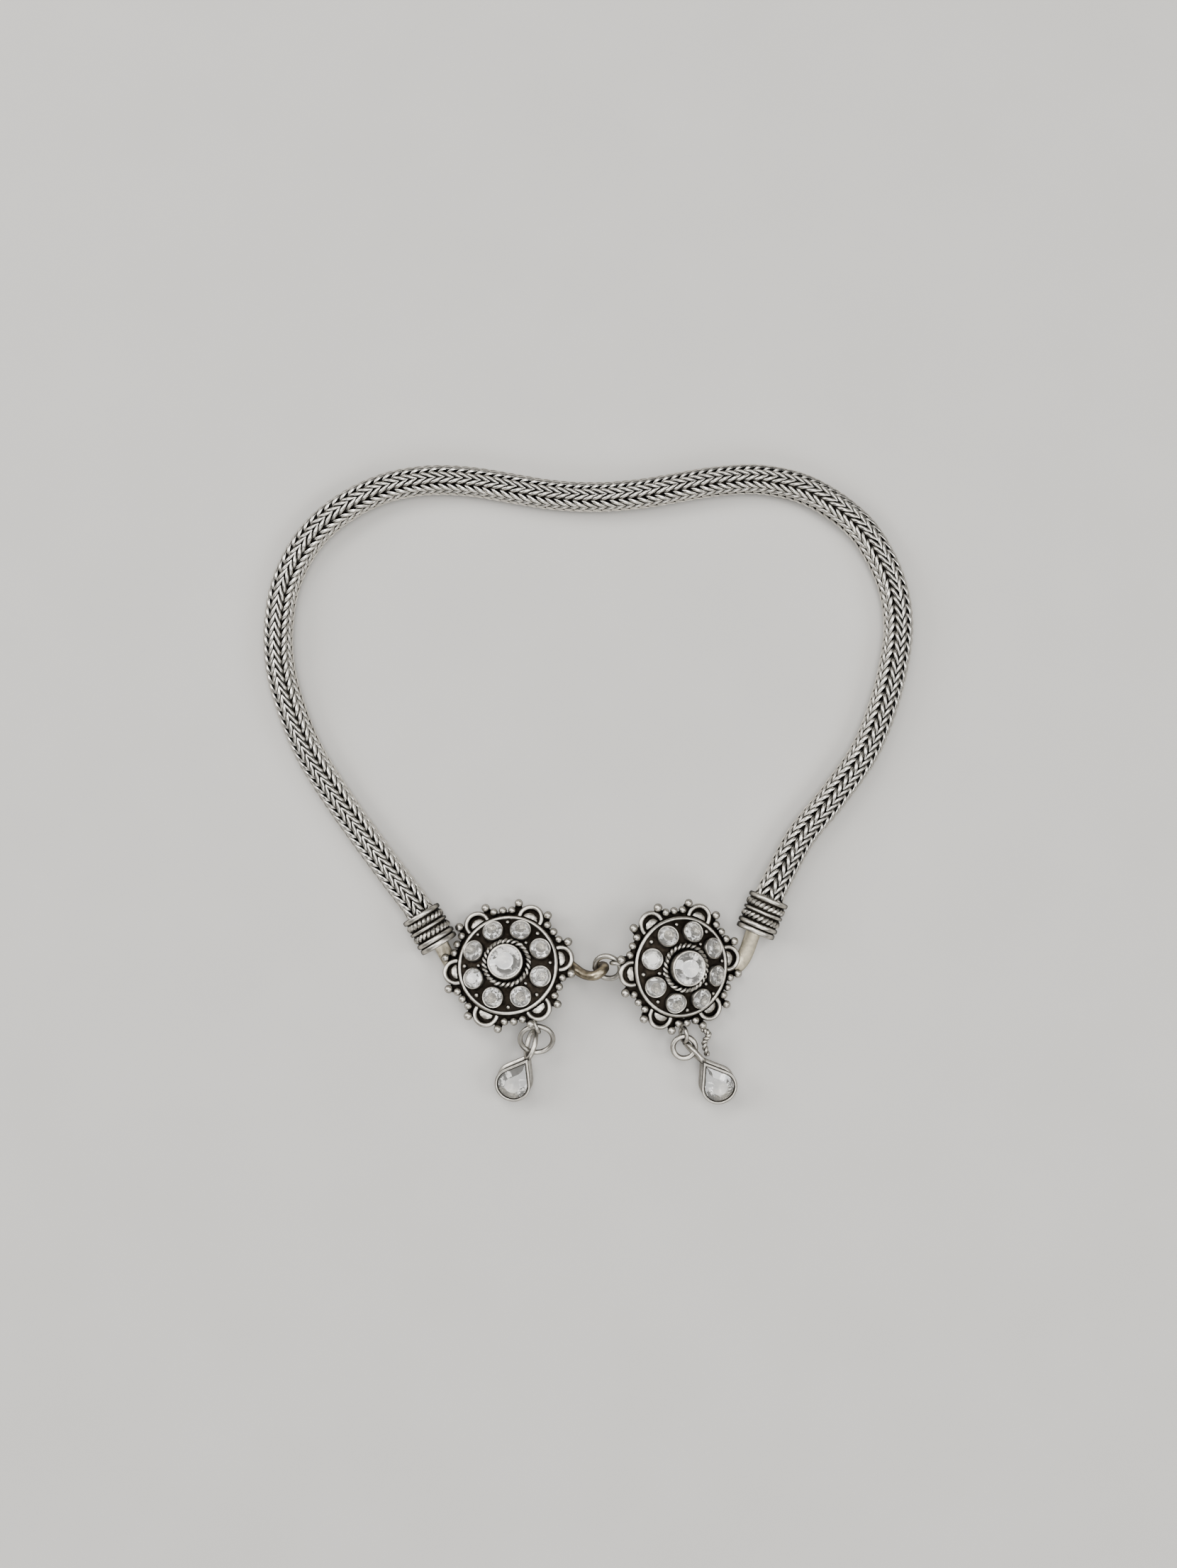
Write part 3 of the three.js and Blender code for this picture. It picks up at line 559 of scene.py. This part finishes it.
def addStrap(shape, side, index):
    # from the cap down under the rosette, then curled round the bar
    place, along = barPlace(side), direction(side["strapAngle"])
    start = capPoint(side, cap["length"] - strapBand["inset"])
    start.z = strapBand["start"]
    leave = start + direction(side["capHeading"]) * side["strapLeave"]
    leave.z = strapHeight
    end = Vector((place.x, place.y, strapHeight))
    route = [start, leave, end + along * side["strapEnter"], end]
    sections = []
    for i in range(strapBand["steps"] + 1):
        t = i / strapBand["steps"]
        ahead, behind = min(t + strapBand["nudge"], 1), max(t - strapBand["nudge"], 0)
        tangent = (bezier(route, ahead) - bezier(route, behind)).normalized()
        sections.append((bezier(route, t), tangent, tangent.cross(up).normalized()))
    inward = -along
    for i in range(1, strapBand["curlSteps"] + 1):
        angle = math.radians(i * strapBand["curl"] / strapBand["curlSteps"])
        centre = place + inward * curlRadius * math.sin(angle) - up * curlRadius * math.cos(angle)
        sections.append((centre, inward * math.cos(angle) + up * math.sin(angle), inward.cross(up)))
    half, thick, edge = strapBand["width"] / 2, strapBand["thickness"] / 2, strapBand["edge"]
    outline = [(-half + edge, -thick), (half - edge, -thick), (half, -thick + edge), (half, thick - edge),
               (half - edge, thick), (-half + edge, thick), (-half, thick - edge), (-half, -thick + edge)]
    rings = []
    for centre, tangent, wide in sections:
        high = wide.cross(tangent).normalized()
        rings.append([centre + wide * u + high * v for u, v in outline])
    addRings(shape, rings, index=index)


def ridgeProfile(floor, top, low, width):
    # a squarish half round that stands on the barrel and is closed inside it
    root, base = floor - cap["ridgeSink"], floor - cap["ridgeOverlap"]
    profile = [(root, low + width)]
    for k in range(cap["ridgeSteps"], -1, -1):
        turn = math.pi * k / cap["ridgeSteps"]
        profile.append((base + (top - base) * math.sin(turn) ** cap["ridgeRound"],
                        low + width * (0.5 - 0.5 * math.cos(turn))))
    return profile + [(root, low), profile[0]]


def makeCap(side):
    shape = bmesh.new()
    place = frameAt(capPoint(side, 0), direction(side["capHeading"]), up)
    inner, end, soft = cap["socketRadius"], cap["length"], cap["softEdge"]
    floor = inner + cap["wall"] * cap["floorShare"]
    # (radius, height): socket floor, mouth, and the ground between the ridges up to the end
    barrel = [(0, cap["socket"]), (inner, cap["socket"]), (inner, soft), (inner + 0.1, 0.04),
              (floor, 0.1), (floor, end - soft), (floor - 0.14, end), (0, end)]
    addTurned(shape, barrel, cap["sides"], place, index=2)
    # a slightly domed plate closes the end
    under = end - cap["endPlate"]
    disc = [(0, under), (floor, under), (floor, end - 0.06), (floor - 0.1, end + 0.01),
            (floor - 0.35, end + 0.03), (0, end + 0.05)]
    addTurned(shape, disc, cap["sides"], place, index=3)
    height = 0.0
    for kind, share, rise in capBands:
        width = share * end
        if kind == "ridge":
            profile = ridgeProfile(floor, inner + cap["wall"] * rise, height, width)
            addTurned(shape, profile, cap["sides"], place)
        if kind == "rope":
            addRope(shape, cap["rope"], height + width / 2, place, start=height * cap["ropeShift"])
        height += width
    addStrap(shape, side, 1)
    finishPiece(side["name"] + "_ribbed_cap", shape, [castSilver, brushedSilver, blackSilverAndShade, plateSilver],
                [side["name"] + "_end_cap"], 50)


for side in bothSides:
    makeCap(side)
print("end caps turned")


rosette = {
    "plate": 0.35, "plateRadius": 7.75, "plateBevel": 0.06, "outlineSteps": 180, "lobes": 6,
    "domeRadius": 6.9, "domeEdge": 0.9, "domeRise": 1.7, "domeSides": 96, "domeSteps": 12, "groundLow": 0.05,
    "rimRadius": 6.8, "rimWire": 0.6, "rimSteps": 120,
    "scallopWire": 0.65, "scallopRadius": 1.6, "scallopCircle": 7.425, "scallopSweep": 204,
    "scallopSteps": 26, "scallopSwing": 1.2,
    "discCircle": 7.3, "discReach": 0.86, "discWidth": 1.08, "discHeight": 0.5, "discRough": 0.05,
    "innerBead": 0.56, "innerCircle": 7.93, "innerSpacing": 9.6, "outerBead": 0.6, "outerCircle": 9.0,
    "outerSpread": 15.2, "beadHeight": 0.65, "footRadius": 0.5, "footInset": 0.45,
    "beadSizes": (0.96, 1.02), "beadShift": 0.05, "beadSwing": 0.4,
    "petals": 8, "petalCircle": 4.95, "petalLean": 20,
    "grain": 0.31, "grainSizes": (0.8, 1.05), "grainRise": 0.14, "grainCircle": 6.02, "grainSwing": 2,
    "innerGrainCircle": 3.95, "innerGrainSwing": 3, "innerGrainEach": 3,
    "rope": {"ring": 3.08, "turns": 14, "strand": 0.23, "spread": 0.21, "steps": 12}, "ropeRise": 0.16,
    "earRadius": 1.0, "earWire": 0.6, "earSteps": 40,
}
# each cup and its stone: seat is the girdle's height, and the foot goes down into the dome
petalStone = {
    "radius": 1.36, "seat": 0.55, "crown": 0.35, "pavilion": 0.43, "facets": 10, "table": 0.56,
    "foot": 0.3, "wall": 0.11, "cupSides": 40,
}
centreStone = {
    "radius": 2.22, "seat": 1.15, "crown": 0.45, "pavilion": 0.98, "facets": 16, "table": 0.56,
    "foot": 0.6, "wall": 0.24, "cupSides": 64,
}
cup = {
    "room": 0.03, "overlap": 0.04, "lip": 0.06, "under": 0.05, "softEdge": 0.1, "foil": 0.01, "foilTop": 0.08,
}


def domeHeight(radius):
    ball = (rosette["domeRadius"]**2 + rosette["domeRise"]**2) / (2 * rosette["domeRise"])
    return rosette["domeEdge"] + rosette["domeRise"] - ball + math.sqrt(ball**2 - radius**2)


def discEdge(circle, radius, away):
    # how far a disc on a circle reaches from the middle, at an angle away from its own
    miss = circle * math.sin(math.radians(away))
    if abs(miss) > radius or math.cos(math.radians(away)) < 0:
        return 0
    return circle * math.cos(math.radians(away)) + math.sqrt(radius**2 - miss**2)


def plateOutline(turn, height, inset):
    pitch = 360 / rosette["lobes"]
    outline = []
    for i in range(rosette["outlineSteps"]):
        angle = i * 360 / rosette["outlineSteps"]
        away = (angle + pitch / 2) % pitch - pitch / 2
        fromBead = abs(away) - (pitch / 2 - rosette["outerSpread"])
        reach = max(rosette["plateRadius"],
                    discEdge(rosette["scallopCircle"], rosette["scallopRadius"], away),
                    discEdge(rosette["outerCircle"] - rosette["footInset"], rosette["footRadius"], fromBead))
        outline.append(polar(reach - inset, angle + turn, height))
    return outline


def petalMatrix(side, k):
    angle = side["petalTurn"] + k * 360 / rosette["petals"]
    origin = polar(rosette["petalCircle"], angle, domeHeight(rosette["petalCircle"]))
    return frameAt(origin, direction(angle, 90 - rosette["petalLean"]), polar(1, angle))


def centreMatrix():
    return Matrix.Translation((0, 0, rosette["domeEdge"] + rosette["domeRise"]))


def addCup(shape, size, place):
    # a round cup with a rolled lip over the stone's edge, lined with foil
    inner = size["radius"] + cup["room"]
    outer = size["radius"] + cup["overlap"] + size["wall"]
    lip, soft = size["seat"] + cup["lip"], cup["softEdge"]
    floor = size["seat"] - size["pavilion"] - cup["under"]
    profile = [(0, -size["foot"]), (outer, -size["foot"]), (outer, lip - soft), (outer - 0.03, lip - 0.03),
               ((outer + inner) / 2, lip), (inner - 0.02, lip - 0.02), (inner - 0.04, lip - 0.05),
               (inner, lip - soft), (inner, floor), (0, floor)]
    addTurned(shape, profile, size["cupSides"], place)
    foil, top = cup["foil"], size["seat"] - cup["foilTop"]
    lining = [(0, floor + foil), (inner - foil, floor + foil), (inner - foil, top),
              (inner - 0.03, top), (inner - 0.04, floor + 0.03), (0, floor + 0.03)]
    addTurned(shape, lining, size["cupSides"], place, index=2)


def addHalfDisc(shape, place):
    # half a low round boss with a nearly flat top, its straight side towards the rim wire
    part = bmesh.new()
    bmesh.ops.create_uvsphere(part, u_segments=32, v_segments=16, radius=1)
    for vert in part.verts:
        vert.co.z = math.copysign(math.sqrt(abs(vert.co.z)), vert.co.z)
        vert.co += Vector([jitter(rosette["discRough"]) for axis in range(3)])
    everything = part.verts[:] + part.edges[:] + part.faces[:]
    bmesh.ops.bisect_plane(part, geom=everything, plane_co=(0, 0, 0), plane_no=(1, 0, 0), clear_inner=True)
    bmesh.ops.holes_fill(part, edges=part.edges)
    size = (rosette["discReach"], rosette["discWidth"], rosette["discHeight"])
    bmesh.ops.scale(part, vec=size, verts=part.verts)
    joinPart(shape, part, place)


def addBead(shape, kind, angle, place):
    # kind is inner or outer
    size = rosette[kind + "Bead"] * random.uniform(*rosette["beadSizes"])
    reach = rosette[kind + "Circle"] + jitter(rosette["beadShift"])
    addBall(shape, polar(reach, angle + jitter(rosette["beadSwing"]), rosette["beadHeight"]), size, place)


def addGround(shape, side, place):
    # plate, black dome and rim wire
    plate, bevel, rim = rosette["plate"], rosette["plateBevel"], rosette["rimRadius"]
    levels = ((0, bevel), (bevel, 0), (plate - bevel, 0), (plate, bevel))
    addRings(shape, [plateOutline(side["turn"], height, inset) for height, inset in levels], place, index=1)
    ground = [(0, rosette["groundLow"]), (rim, rosette["groundLow"]), (rim, rosette["domeEdge"])]
    for i in range(1, rosette["domeSteps"] + 1):
        radius = rim * (1 - i / rosette["domeSteps"])
        ground.append((radius, domeHeight(radius)))
    addTurned(shape, ground, rosette["domeSides"], place, index=1)
    addWireRing(shape, rim, rosette["rimWire"], rosette["rimSteps"], place, height=rosette["domeEdge"])


def addScallops(shape, side, place):
    # six wire arches with a half disc in each, and five beads in each gap
    plate, sweep = rosette["plate"], rosette["scallopSweep"]
    arc = circlePath(rosette["scallopRadius"], rosette["scallopSteps"], 0, sweep, -sweep / 2)
    spot = Matrix.Translation((rosette["scallopCircle"], 0, plate + rosette["scallopWire"] / 4))
    for lobe in range(rosette["lobes"]):
        middle = side["turn"] + lobe * 360 / rosette["lobes"]
        swing = math.radians(middle + jitter(rosette["scallopSwing"]))
        turned = place @ Matrix.Rotation(swing, 4, "Z")
        addWires(shape, [arc], rosette["scallopWire"] / 2, sides=10, place=turned @ spot)
        addHalfDisc(shape, turned @ Matrix.Translation((rosette["discCircle"], 0, plate)))
        gap = middle + 180 / rosette["lobes"]
        for k in (-1, 0, 1):
            addBead(shape, "inner", gap + k * rosette["innerSpacing"], place)
        for k in (-1, 1):
            addBead(shape, "outer", gap + k * rosette["outerSpread"], place)


def addPetals(shape, side, place):
    # eight cups with grains between them, then the centre cup in its rope
    for k in range(rosette["petals"]):
        addCup(shape, petalStone, place @ petalMatrix(side, k))
        angle = side["petalTurn"] + (k + 0.5) * 360 / rosette["petals"]
        spots = [(rosette["grainCircle"], angle + jitter(rosette["grainSwing"]))]
        if k % rosette["innerGrainEach"] == 0:
            spots.append((rosette["innerGrainCircle"], angle + jitter(rosette["innerGrainSwing"])))
        for radius, turn in spots:
            size = rosette["grain"] * random.uniform(*rosette["grainSizes"])
            centre = polar(radius, turn, domeHeight(radius) + rosette["grainRise"])
            addBall(shape, centre, size, place, across=12, down=8)
    addCup(shape, centreStone, place @ centreMatrix())
    rope = rosette["rope"]
    addRope(shape, rope, domeHeight(rope["ring"]) + rosette["ropeRise"], place)


def addEars(shape, side, place):
    # loops at the edge for the clasp and the drop, on a stem where they stand clear of the plate
    wire = rosette["earWire"]
    for angle, reach, low in side["ears"]:
        loop = frameAt(polar(reach, angle, -low), polar(1, angle + 90), polar(1, angle))
        addWireRing(shape, rosette["earRadius"], wire, rosette["earSteps"], place @ loop, sides=10)
        if reach > rosette["plateRadius"]:
            root = polar(rosette["plateRadius"] - wire, angle, rosette["plate"] / 2)
            end = polar(reach - rosette["earRadius"], angle, -low)
            addWires(shape, [[root, end]], wire / 2, sides=10, place=place)


def addBar(shape, side, place):
    # the bar that the strap curls round, with a leg at each end up into the plate
    across = direction(side["strapAngle"] + 90)
    half = strapBand["width"] / 2 + strapBand["barSpare"] + strapBand["bar"] / 2
    ends = [barPlace(side) + across * half * k for k in (-1, 1)]
    normal, back = place.to_3x3() @ up, place.translation
    legs = []
    for end in ends:
        rise = ((back - end).dot(normal) + rosette["plate"] / 2) / normal.z
        legs.append(end + up * rise)
    addWires(shape, [[legs[0], ends[0], ends[1], legs[1]]], strapBand["bar"] / 2, sides=10)


def makeRosette(side):
    shape = bmesh.new()
    place = rosetteMatrix(side)
    for addPart in (addGround, addScallops, addPetals, addEars, addBar):
        addPart(shape, side, place)
    if "strand" in side:
        addTwist(shape, side["strand"])
    name = side["name"] + "_rosette"
    finishPiece(name + "_silver", shape, [castSilver, blackSilverAndShade, foilSilver], [name], 50)


for side in bothSides:
    makeRosette(side)
print("rosettes soldered")


# half a girdle in mm, then shares of a stone's crown, pavilion and outline where its facets meet
cut = {"girdle": 0.03, "crownMiddle": 0.55, "pavilionMiddle": 0.72, "pavilionWidth": 0.42, "point": 0.05}


def cutStone(outline, size):
    # a table, stars, kites and girdle facets above, the same pattern drawn to a point below
    shape = bmesh.new()
    facets, seat, table = size["facets"], size["seat"], size["table"]
    girdle = [outline(k / (2 * facets)) for k in range(2 * facets)]
    levels = [
        (seat + cut["girdle"], seat + size["crown"] * cut["crownMiddle"], seat + size["crown"],
         0.5 + table / 2, table),
        (seat - cut["girdle"], seat - size["pavilion"] * cut["pavilionMiddle"], seat - size["pavilion"],
         cut["pavilionWidth"], cut["point"]),
    ]
    belts = []
    for edgeHeight, midHeight, endHeight, midShare, endShare in levels:
        edge = [shape.verts.new((x, y, edgeHeight)) for x, y in girdle]
        mid = [shape.verts.new((x * midShare, y * midShare, midHeight)) for x, y in girdle[1::2]]
        end = [shape.verts.new((x * endShare, y * endShare, endHeight)) for x, y in girdle[::2]]
        for k in range(facets):
            after = (k + 1) % facets
            g0, g1, g2 = edge[2 * k], edge[2 * k + 1], edge[(2 * k + 2) % (2 * facets)]
            shape.faces.new((g0, g1, mid[k]))
            shape.faces.new((g1, g2, mid[k]))
            shape.faces.new((end[k], mid[k], end[after]))
            shape.faces.new((mid[k - 1], g0, mid[k]))
            shape.faces.new((mid[k - 1], mid[k], end[k]))
        shape.faces.new(end)
        belts.append(edge)
    upper, lower = belts
    for k in range(2 * facets):
        after = (k + 1) % (2 * facets)
        shape.faces.new((upper[k], lower[k], lower[after], upper[after]))
    bmesh.ops.recalc_face_normals(shape, faces=shape.faces)
    return shape


def roundOutline(radius):
    return lambda share: tuple(polar(radius, share * 360))[:2]


def placeStone(name, shape, place, node):
    bmesh.ops.transform(shape, matrix=place, verts=shape.verts)
    finishPiece(name, shape, [zirconia], [node], 0)


for side in bothSides:
    sizes = [("_centre_stone", centreStone, centreMatrix())]
    for k in range(rosette["petals"]):
        sizes.append(("_petal_stone_%d" % (k + 1), petalStone, petalMatrix(side, k)))
    for ending, size, spot in sizes:
        shape = cutStone(roundOutline(size["radius"]), size)
        turned = Matrix.Rotation(random.uniform(0, math.tau), 4, "Z")
        node = side["name"] + ending
        placeStone(node + "_cut", shape, rosetteMatrix(side) @ spot @ turned, node)
print("round stones set")


clasp = {
    "heading": 22, "slope": 26, "roll": 18, "ringRadius": 1.8, "ringWire": 0.75, "ringSteps": 56,
    "hookWire": 1.4, "hookSteps": 6, "room": 0.12, "tip": 0.5, "bow": 0.45, "bowAt": 0.55,
    "taper": 0.22, "taperFrom": 0.8, "taperLength": 0.2, "tipBall": 0.8,
    "eyeRadius": 1.1, "eyeWire": 0.9, "eyeSteps": 48,
}


def earCentre(side, index):
    angle, reach, low = side["ears"][index]
    return rosetteMatrix(side) @ polar(reach, angle, -low)


def claspRingFrame():
    hold = earCentre(rightSide, 1)
    along = direction(clasp["heading"], clasp["slope"])
    level = direction(clasp["heading"] + 90)
    tilted = Quaternion(along, math.radians(clasp["roll"])) @ level
    return along, along.cross(tilted), hold - along * clasp["ringRadius"]


def makeClasp():
    along, normal, centre = claspRingFrame()
    shape = bmesh.new()
    place = frameAt(centre, normal, along)
    addWireRing(shape, clasp["ringRadius"], clasp["ringWire"], clasp["ringSteps"], place)
    finishPiece("clasp_ring_wire", shape, [castSilver], ["clasp_ring"])
    held = centre - along * clasp["ringRadius"]
    reach = clasp["ringWire"] / 2 + clasp["hookWire"] / 2 + clasp["room"]
    ear = earCentre(leftSide, 1)
    level = Vector((held.x - ear.x, held.y - ear.y, 0)).normalized()
    eye = ear + level * clasp["eyeRadius"]
    front = eye + level * clasp["eyeRadius"]
    bend = []
    for angle in (0, 45, 90, 135, 180):
        turn = math.radians(angle)
        bend.append(held + normal * reach * math.cos(turn) + along * reach * math.sin(turn))
    middle = front.lerp(bend[0], clasp["bowAt"])
    middle.y -= clasp["bow"]
    tip = bend[-1] - along * clasp["tip"]
    path = smoothRoute([front, middle] + bend + [tip], clasp["hookSteps"])
    shares = [i / (len(path) - 1) for i in range(len(path))]
    swells = [1 - clasp["taper"] * max(0, (t - clasp["taperFrom"]) / clasp["taperLength"]) for t in shares]
    shape = bmesh.new()
    addWires(shape, [path], clasp["hookWire"] / 2, sides=12, swells=swells)
    addBall(shape, tip, clasp["hookWire"] / 2 * clasp["tipBall"])
    addWireRing(shape, clasp["eyeRadius"], clasp["eyeWire"], clasp["eyeSteps"], frameAt(eye, up, level))
    finishPiece("clasp_hook_wire", shape, [wornSilver], ["clasp_hook"])


def jumpRingFrame(side):
    ring = side["ring"]
    along = direction(ring["heading"], -ring["slope"])
    level = direction(ring["heading"] + 90)
    hold = earCentre(side, 0) + direction(ring["heading"]) * ring["passes"]
    return along, level, hold + along * ring["radius"]


def makeJumpRing(side):
    along, level, centre = jumpRingFrame(side)
    ring = side["ring"]
    place = frameAt(centre, along.cross(level), along)
    shape = bmesh.new()
    addWireRing(shape, ring["radius"], ring["wire"], ring["steps"], place)
    name = side["name"] + "_jump_ring"
    finishPiece(name + "_wire", shape, [castSilver], [name])


makeClasp()
for side in bothSides:
    makeJumpRing(side)
print("clasp and rings made")


drop = {
    "radius": 2.56, "reach": 4.6, "depth": 2.4, "rim": 0.34, "pocket": 1.05, "waist": 0.36,
    "arc": 34, "flank": 7, "stoneRoom": 0.05, "bailSteps": 44,
    "bailLength": 2.0, "bailWidth": 1.0, "bailWire": 0.72, "bailGrip": 0.85, "bailHeight": 0.9,
}
dropStone = {
    "facets": 15, "crown": 0.42, "table": 0.52,
    "pavilion": drop["pocket"] * 0.7, "seat": drop["depth"] - drop["pocket"] / 4,
}


def bailFrame(side):
    along, level, centre = jumpRingFrame(side)
    bail, radius = side["bail"], side["ring"]["radius"]
    turn = math.radians(bail["at"])
    held = centre + along * radius * math.cos(turn) + level * radius * math.sin(turn)
    line = direction(bail["heading"], bail["slope"])
    middle = held - line * (drop["bailLength"] - bail["offset"])
    across = Quaternion(line, math.radians(90 - bail["roll"])) @ direction(bail["heading"] + 90)
    return line, middle, line.cross(across)


def pearMatrix(side):
    line, middle = bailFrame(side)[:2]
    pear = side["pear"]
    tipward = direction(pear["heading"] + 180, pear["tilt"])
    front = direction(pear["heading"], 90 - pear["tilt"])
    origin = middle + line * drop["bailLength"]
    origin -= tipward * (drop["reach"] + drop["bailWire"] / 2 - drop["bailGrip"]) + front * drop["bailHeight"]
    return frameAt(origin, front, tipward.cross(front))


def pearOutline(inset, height):
    # round end with two straight flanks that meet at the tip
    radius = drop["radius"] - inset
    reach = drop["reach"] - inset * drop["reach"] / drop["radius"]
    opening = math.degrees(math.acos(radius / reach))
    tip = Vector((0, reach, height))
    start, sweep = 90 + opening, 360 - 2 * opening
    arc = [polar(radius, start + i * sweep / drop["arc"], height) for i in range(drop["arc"] + 1)]
    shares = [i / drop["flank"] for i in range(1, drop["flank"])]
    left = [tip.lerp(arc[0], t) for t in shares]
    right = [arc[-1].lerp(tip, t) for t in shares]
    return [tip] + left + arc + right


def addPear(shape, rows, place, index=0, hollow=False):
    addRings(shape, [pearOutline(inset, height) for inset, height in rows], place, index, hollow)


def makeDrop(side):
    place = pearMatrix(side)
    depth, waist, rim, floor = drop["depth"], drop["waist"], drop["rim"], drop["depth"] - drop["pocket"]
    # inset and height: from the back plate in to the waist, out and over the rim, down to the pocket's floor
    wall = [(0.22, 0.0), (0.05, 0.04), (0.0, 0.12), (0.0, 0.28), (0.07, 0.37), (waist, 0.5),
            (waist, depth * 0.7), (0.3, depth * 0.74), (0.05, depth * 0.8), (0.0, depth * 0.85),
            (0.0, depth - 0.12), (0.02, depth - 0.05), (0.06, depth - 0.01), (0.29, depth),
            (rim, depth - 0.04), (rim, floor)]
    lining = [(rim + 0.01, floor + 0.01), (rim + 0.01, depth - 0.5), (rim + 0.03, depth - 0.48),
              (rim + 0.05, floor + 0.03)]
    # a black ring painted as the shade in the gap between the rim and the stone
    shadow = [(0.33, depth - 0.3), (0.33, depth - 0.12), (0.46, depth - 0.13), (0.46, depth - 0.32)]
    shape = bmesh.new()
    addPear(shape, wall, place)
    addPear(shape, lining, place, index=1)
    addPear(shape, shadow, place, index=2, hollow=True)
    line, middle, normal = bailFrame(side)
    turns = [math.tau * i / drop["bailSteps"] for i in range(drop["bailSteps"])]
    oval = [Vector((drop["bailLength"] * math.cos(t), drop["bailWidth"] * math.sin(t), 0)) for t in turns]
    bail = frameAt(middle, normal, line)
    addWires(shape, [oval], drop["bailWire"] / 2, sides=10, closed=True, place=bail)
    finishPiece(side["name"] + "_drop_bezel", shape, [castSilver, foilSilver, blackSilverAndShade],
                [side["name"] + "_drop_setting"], 50)

    line = pearOutline(rim + drop["stoneRoom"], 0)
    lengths = [0.0]
    for a, b in zip(line, line[1:] + line[:1]):
        lengths.append(lengths[-1] + (b - a).length)

    def stoneOutline(share):
        distance = share * lengths[-1]
        i = max(k for k, d in enumerate(lengths[:-1]) if d <= distance + tiny)
        part = (distance - lengths[i]) / (lengths[i + 1] - lengths[i])
        spot = line[i].lerp(line[(i + 1) % len(line)], part)
        return spot.x, spot.y

    placeStone(side["name"] + "_drop_stone_cut", cutStone(stoneOutline, dropStone), place,
               side["name"] + "_drop_stone")


for side in bothSides:
    makeDrop(side)
print("drops made")


studio = {
    "boardHalf": 1.5, "dark": "#cfccc6", "pale": "#d8d5cf", "rough": 0.8, "mottleSize": 50 / 3,
    "sky": "#b9bcc2", "skyPower": 0.16,
}


def floorFinish():
    material, tree = emptyMaterial("paleStudioBoard")
    place = addNode(tree, "ShaderNodeTexCoord").outputs["Object"]
    mottle = addNode(tree, "ShaderNodeTexNoise", {
        "Vector": place, "Scale": 1000 / studio["mottleSize"], "Detail": 5.0,
    }).outputs["Fac"]
    colour = addNode(tree, "ShaderNodeMix", {
        "Factor": mottle, mixLow: linearColour(studio["dark"]), mixHigh: linearColour(studio["pale"]),
    }, data_type="RGBA").outputs[mixResult]
    surface = addNode(tree, "ShaderNodeBsdfPrincipled", {"Base Color": colour, "Roughness": studio["rough"]})
    addNode(tree, "ShaderNodeOutputMaterial", {"Surface": surface.outputs["BSDF"]})
    return material


def makeFloor():
    shape = bmesh.new()
    bmesh.ops.create_grid(shape, x_segments=2, y_segments=2, size=studio["boardHalf"])
    mesh = toMesh(shape, "board")
    mesh.materials.append(floorFinish())
    addObject("board", mesh)


lights = [  # name, place in metres, width, height, power in watts
    ("overheadSoftbox", (0.06, 0.1, 0.8), 0.42, 0.42, 4.2),
    ("leftSoftbox", (-0.6, 0.2, 0.42), 0.3, 0.4, 2.8),
    ("rightSoftbox", (0.5, -0.06, 0.5), 0.26, 0.3, 1.6),
    ("farSoftbox", (-0.2, 0.44, 0.66), 0.4, 0.3, 2.4),
    ("nearSoftbox", (0.02, -0.48, 0.5), 0.55, 0.3, 1.9),
]


def makeLights():
    for name, spot, width, height, power in lights:
        lamp = bpy.data.lights.new(name, "AREA")
        lamp.shape = "RECTANGLE"
        lamp.size, lamp.size_y, lamp.energy = width, height, power
        thing = addObject(name, lamp)
        thing.location = spot
        thing.rotation_euler = (-Vector(spot)).to_track_quat("-Z", "Y").to_euler()
    world = bpy.data.worlds.new("studio")
    world.use_nodes = True
    sky = world.node_tree.nodes["Background"].inputs
    sky["Color"].default_value = linearColour(studio["sky"])
    sky["Strength"].default_value = studio["skyPower"]
    bpy.context.scene.world = world


# straight down from about 300 mm: sensor and lens in millimetres, height and clip start in metres
camera = {"sensor": 36, "lens": 48.8, "height": 0.302, "clipStart": 0.01}


def makeCamera():
    data = bpy.data.cameras.new("photoCamera")
    data.sensor_fit = "VERTICAL"
    data.sensor_height = camera["sensor"]
    data.lens = camera["lens"]
    data.clip_start = camera["clipStart"]
    thing = addObject("photoCamera", data)
    thing.location = (0, 0, camera["height"])
    bpy.context.scene.camera = thing


makeFloor()
makeLights()
makeCamera()
print("stage lit")

bpy.context.view_layer.update()
